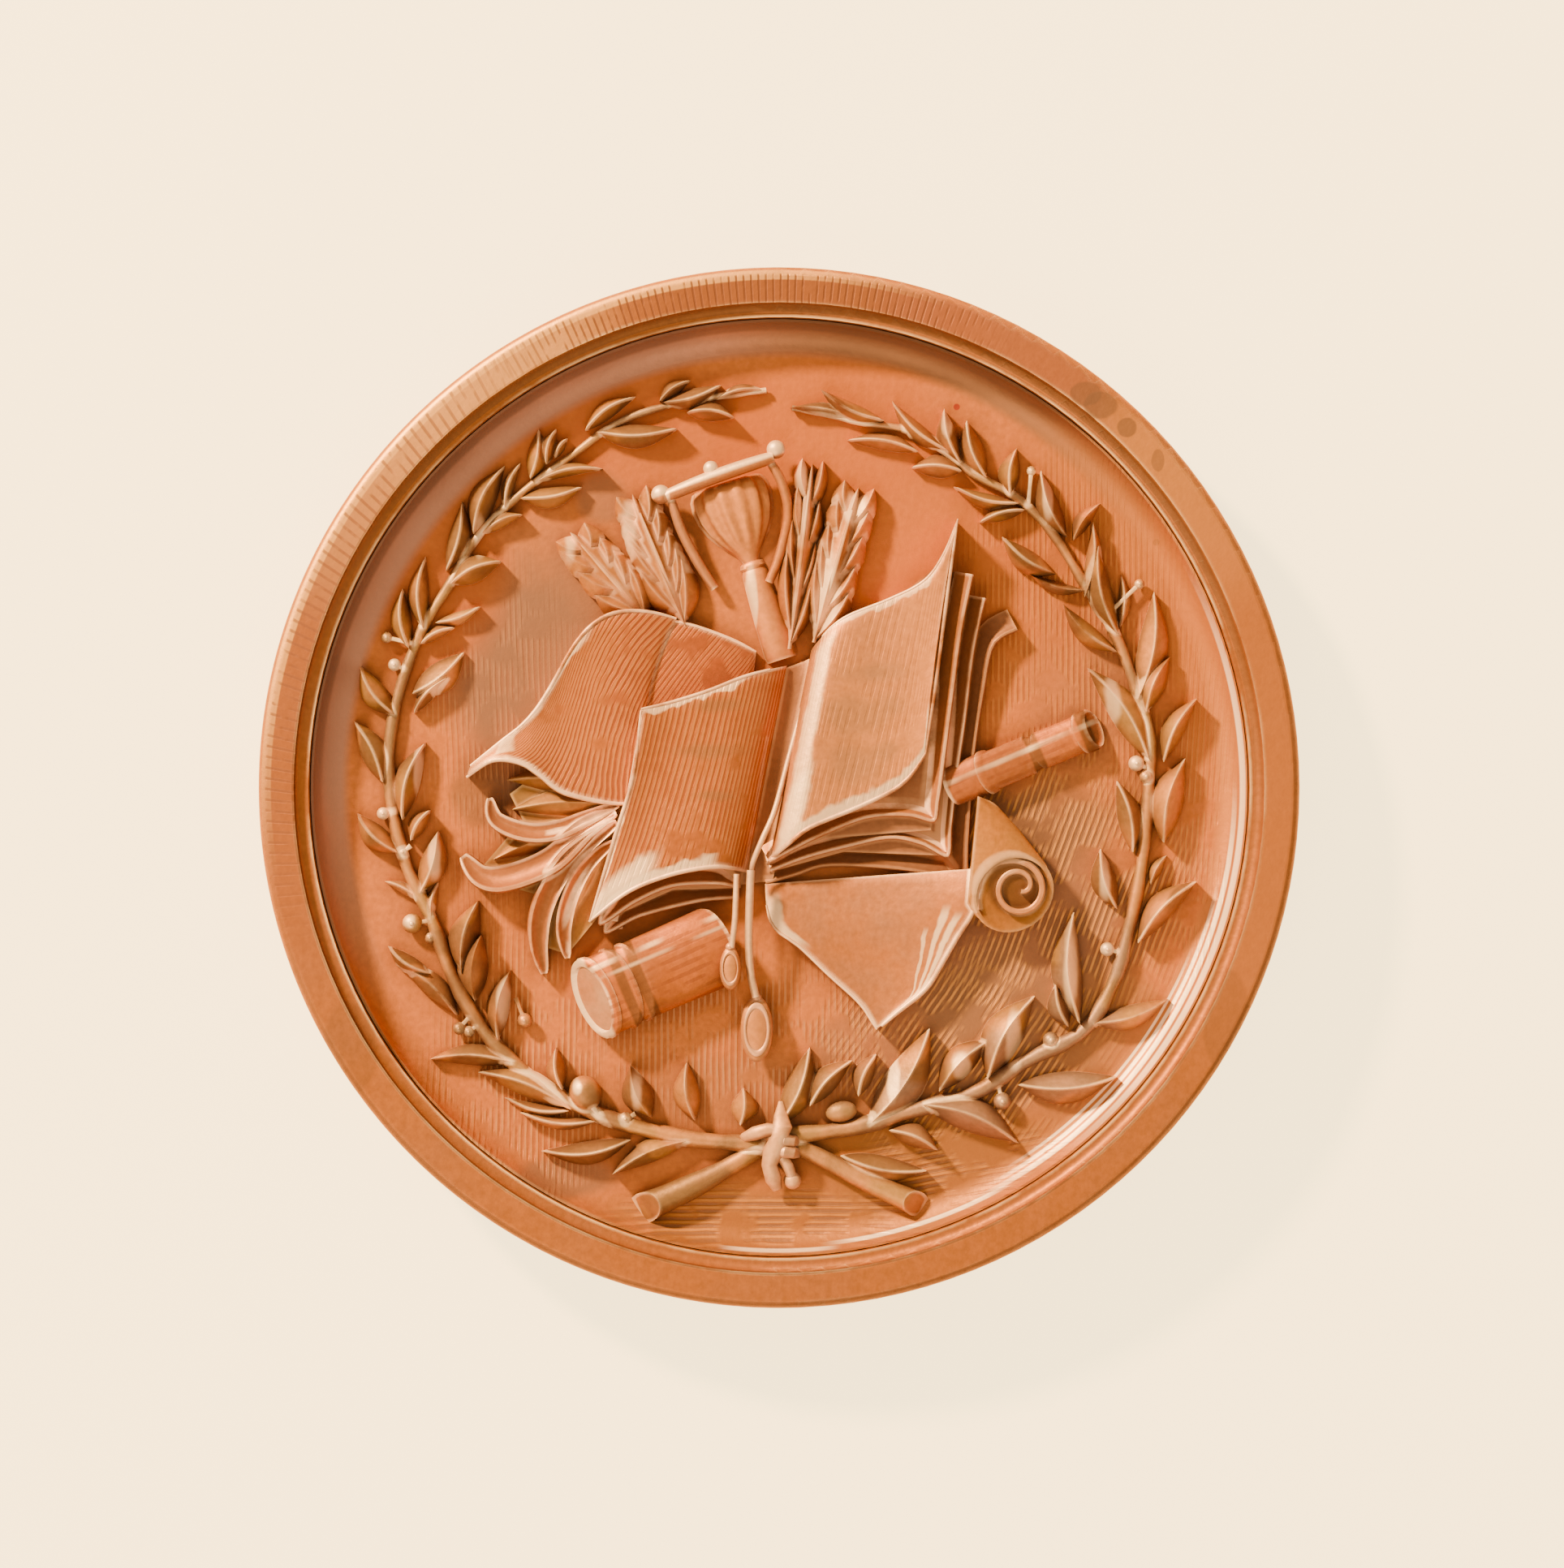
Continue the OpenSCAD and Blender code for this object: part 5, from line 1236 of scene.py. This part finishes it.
# points of the top bar and the two posts in percent, and each one's radius in mm
FRAME_BARS = (
    (((-17.6, 45.3, 50), (-12.0, 47.6, 54), (-6.4, 49.6, 54), (-0.9, 51.4, 50)), 0.44),
    (((-1.6, 51.0, 44), (0.4, 47.4, 40), (1.4, 42.5, 34), (0.0, 36.0, 28), (-1.6, 32.0, 24)), 0.32),
    (((-16.8, 44.8, 44), (-15.2, 40.0, 38), (-12.6, 35.0, 32), (-10.0, 31.0, 26)), 0.32),
)
# x, y and height in percent, radius in mm
KNOBS = ((-18.4, 45.6, 46, 0.60), (-0.5, 52.6, 46, 0.58), (-10.6, 49.6, 52, 0.48))
flask, frame_work = bmesh.new(), bmesh.new()
bulbs = turned_tube((-8.3, 47.6), (0.5, 20.0), GLASS, 2.46, 0, 0.62, (0.0, 0.0), sides=84, flutes=14)
add_cut(flask, bulbs)
for points, radius in FRAME_BARS:
    bead(frame_work, points, radius, 24, 0.2)
for x, y, height, radius in KNOBS:
    knob = bmesh.new()
    ball(knob, at(x, y, height), radius, rings=10)
    add_cut(frame_work, knob)
flask_finish = bronze("hourglass_bronze", (0.66, 0.215, 0.050), GLASS_RUBBED, amounts=(0.35, 0.5, 0.7))
# a painted highlight down the lower bulb
cover(flask_finish, spot_mask(flask_finish, -1.75, 11.5, 0.4, 2.3, 0.4, 0.3), CREAM, 0.65)
frame_finish = bronze(
    "hourglass_frame_bronze", (0.46, 0.135, 0.030), GLASS_RUBBED, amounts=(0.35, 0.9, 0.8))
# a painted highlight along the top of the bar
over_frame = axes_of(frame_finish, object_place(frame_finish, -19.3))["Y"]
cover(frame_finish, ranged(frame_finish, over_frame, 0.0193, 0.0195), CREAM, 0.75)
hourglass_parts = [(flask, flask_finish), (frame_work, frame_finish)]
cast_piece("hourglass_in_frame", hourglass_parts, ["hourglass"])


# The quills: four plumes that fan out behind the book, each a shaft with pointed barbs that
# overlap like scales, with a painted highlight near its tip. They are cast in bronze on the
# field, chased barb by barb, and a few of their feathers carry painted highlights too.

# tip x, tip y, foot x, foot y, half width, height in percent, barbs on a side
QUILLS = {
    "quill_far_right": (12.4, 46.8, 5.4, 22.6, 3.4, 54, 5),
    "quill_right": (5.2, 50.6, 1.6, 21.6, 2.3, 50, 4),
    "quill_left": (-22.9, 45.8, -14.6, 25.2, 3.6, 48, 5),
    "quill_left_low": (-32.6, 39.8, -20.6, 26.2, 3.8, 42, 4),
}
# along the shaft as a share of it, height as a share of the crown, size in mm
SHAFT = ((0, 0.6, 0.12), (0.5, 1.1, 0.12), (0.85, 0.95, 0.06))
quill_finish = bronze(
    "quill_bronze", (0.56, 0.193, 0.043), SHEET_RUBBED, (0.07, 0.018, 0.008), (0.266, 0.084, 0.025),
    amounts=(0.7, 0.5, 1.0))
# painted highlights on the feathers: x, y, half width and half height in mm
for x, y, half_x, half_y in (
    (-12.9, 14.9, 0.35, 1.1), (-9.2, 16.2, 0.4, 1.2), (1.4, 18.2, 0.45, 2.4), (3.0, 11.2, 0.7, 2.8),
    (4.6, 17.4, 0.6, 1.0),
):
    cover(quill_finish, spot_mask(quill_finish, x, y, half_x, half_y, 0.9, 1.4), CREAM, 0.6)
for index, (node, (tip_x, tip_y, foot_x, foot_y, half, height, pairs)) in enumerate(QUILLS.items()):
    plume = bmesh.new()
    tip, foot = at(tip_x, tip_y), at(foot_x, foot_y)
    shaft = tip - foot
    side = Vector((-shaft.y, shaft.x, 0)).normalized()
    top = height * RISE
    blade(plume, foot.xy, tip.xy, 1.5 * half * PCT, top, 0.5 * top, 0.12 * (-1) ** index, 0.1)
    # the barbs go up the shaft in pairs, each pair shorter, narrower and lower than the last
    for k in range(pairs):
        crown = 0.95 * top - 0.04 * k * top
        for way in (-1, 1):
            share = 0.05 + 0.72 * k / (pairs - 1) + 0.03 * way
            reach = (0.42 - 0.14 * k / (pairs - 1)) * (1 + 0.14 * math.sin(5 * k + way + index))
            spread = half * PCT * way * (0.95 - 0.25 * k / (pairs - 1))
            root = foot + shaft * share
            end = foot + shaft * min(share + reach, 1.02) + side * spread
            blade(plume, root.xy, end.xy, 1.15 * half * PCT, crown, 0.42 * top, 0.24 * way, 0.10, 0.85)
    spine = [(*(foot + share * shaft).xy, up * top, size) for share, up, size in SHAFT]
    add_bar(plume, spine, sides=8)
    cast_piece("plume_" + node[6:], [(plume, quill_finish)], [node])


# The seals: two drop-shaped seals with a raised oval rim, which hang from the book's spine on
# cords that lie over the telescope. All of it is cast in bronze, in relief on the field, and
# the cords are rubbed bright.
def seal(cord, radius, place, size, height):
    """A cord, and its drop-shaped seal, which has a raised oval rim."""
    string, bm, drop, lip, neck = [bmesh.new() for k in range(5)]
    bead(string, cord, radius, 26, 0.0)
    centre = at(*place, height)
    ball(drop, centre, 1.0, (*size, 0.45), rings=14)
    add_cut(bm, drop)
    upright = Matrix.Translation((0.72, 0, 0)) @ Matrix.Rotation(math.pi / 2, 4, "X")
    bmesh.ops.create_circle(lip, radius=0.10, segments=10, matrix=upright)
    wire = lip.verts[:] + lip.edges[:]
    bmesh.ops.spin(
        lip, geom=wire, cent=(0, 0, 0), axis=(0, 0, 1), angle=2 * math.pi, steps=36, use_merge=True)
    on_drop = Matrix.Translation(centre + Vector((0, 0, 0.34))) @ Matrix.Diagonal((*size, 0.9, 1))
    bmesh.ops.transform(lip, matrix=on_drop, verts=lip.verts[:])
    add(bm, lip)
    ball(neck, centre + Vector((0, 0.96 * size[1], 0.05)), 0.30, (1, 1, 0.9))
    add_cut(bm, neck)
    return [(string, cord_finish), (bm, seal_finish)]


seal_finish = bronze(
    "seal_bronze", (0.56, 0.196, 0.049), (1.0, 0.62, 0.38), tarnish=(0.35, 0.105, 0.032),
    amounts=(0.5, 0.4, 0.9))
LONG_CORD = ((-4.4, -12.8, 78), (-4.6, -18.0, 80), (-4.7, -24.0, 72), (-4.4, -29.0, 56), (-3.6, -32.6, 50))
SHORT_CORD = ((-6.6, -13.4, 72), (-6.7, -17.0, 76), (-6.9, -21.0, 78), (-7.4, -24.8, 76))
long_seal = seal(LONG_CORD, 0.25, (-3.5, -37.6), (1.0, 2.05), 40)
cast_piece("seal_on_long_cord", long_seal, ["seal_long"])
short_seal = seal(SHORT_CORD, 0.19, (-7.6, -28.0), (0.66, 1.35), 72)
cast_piece("seal_on_short_cord", short_seal, ["seal_short"])
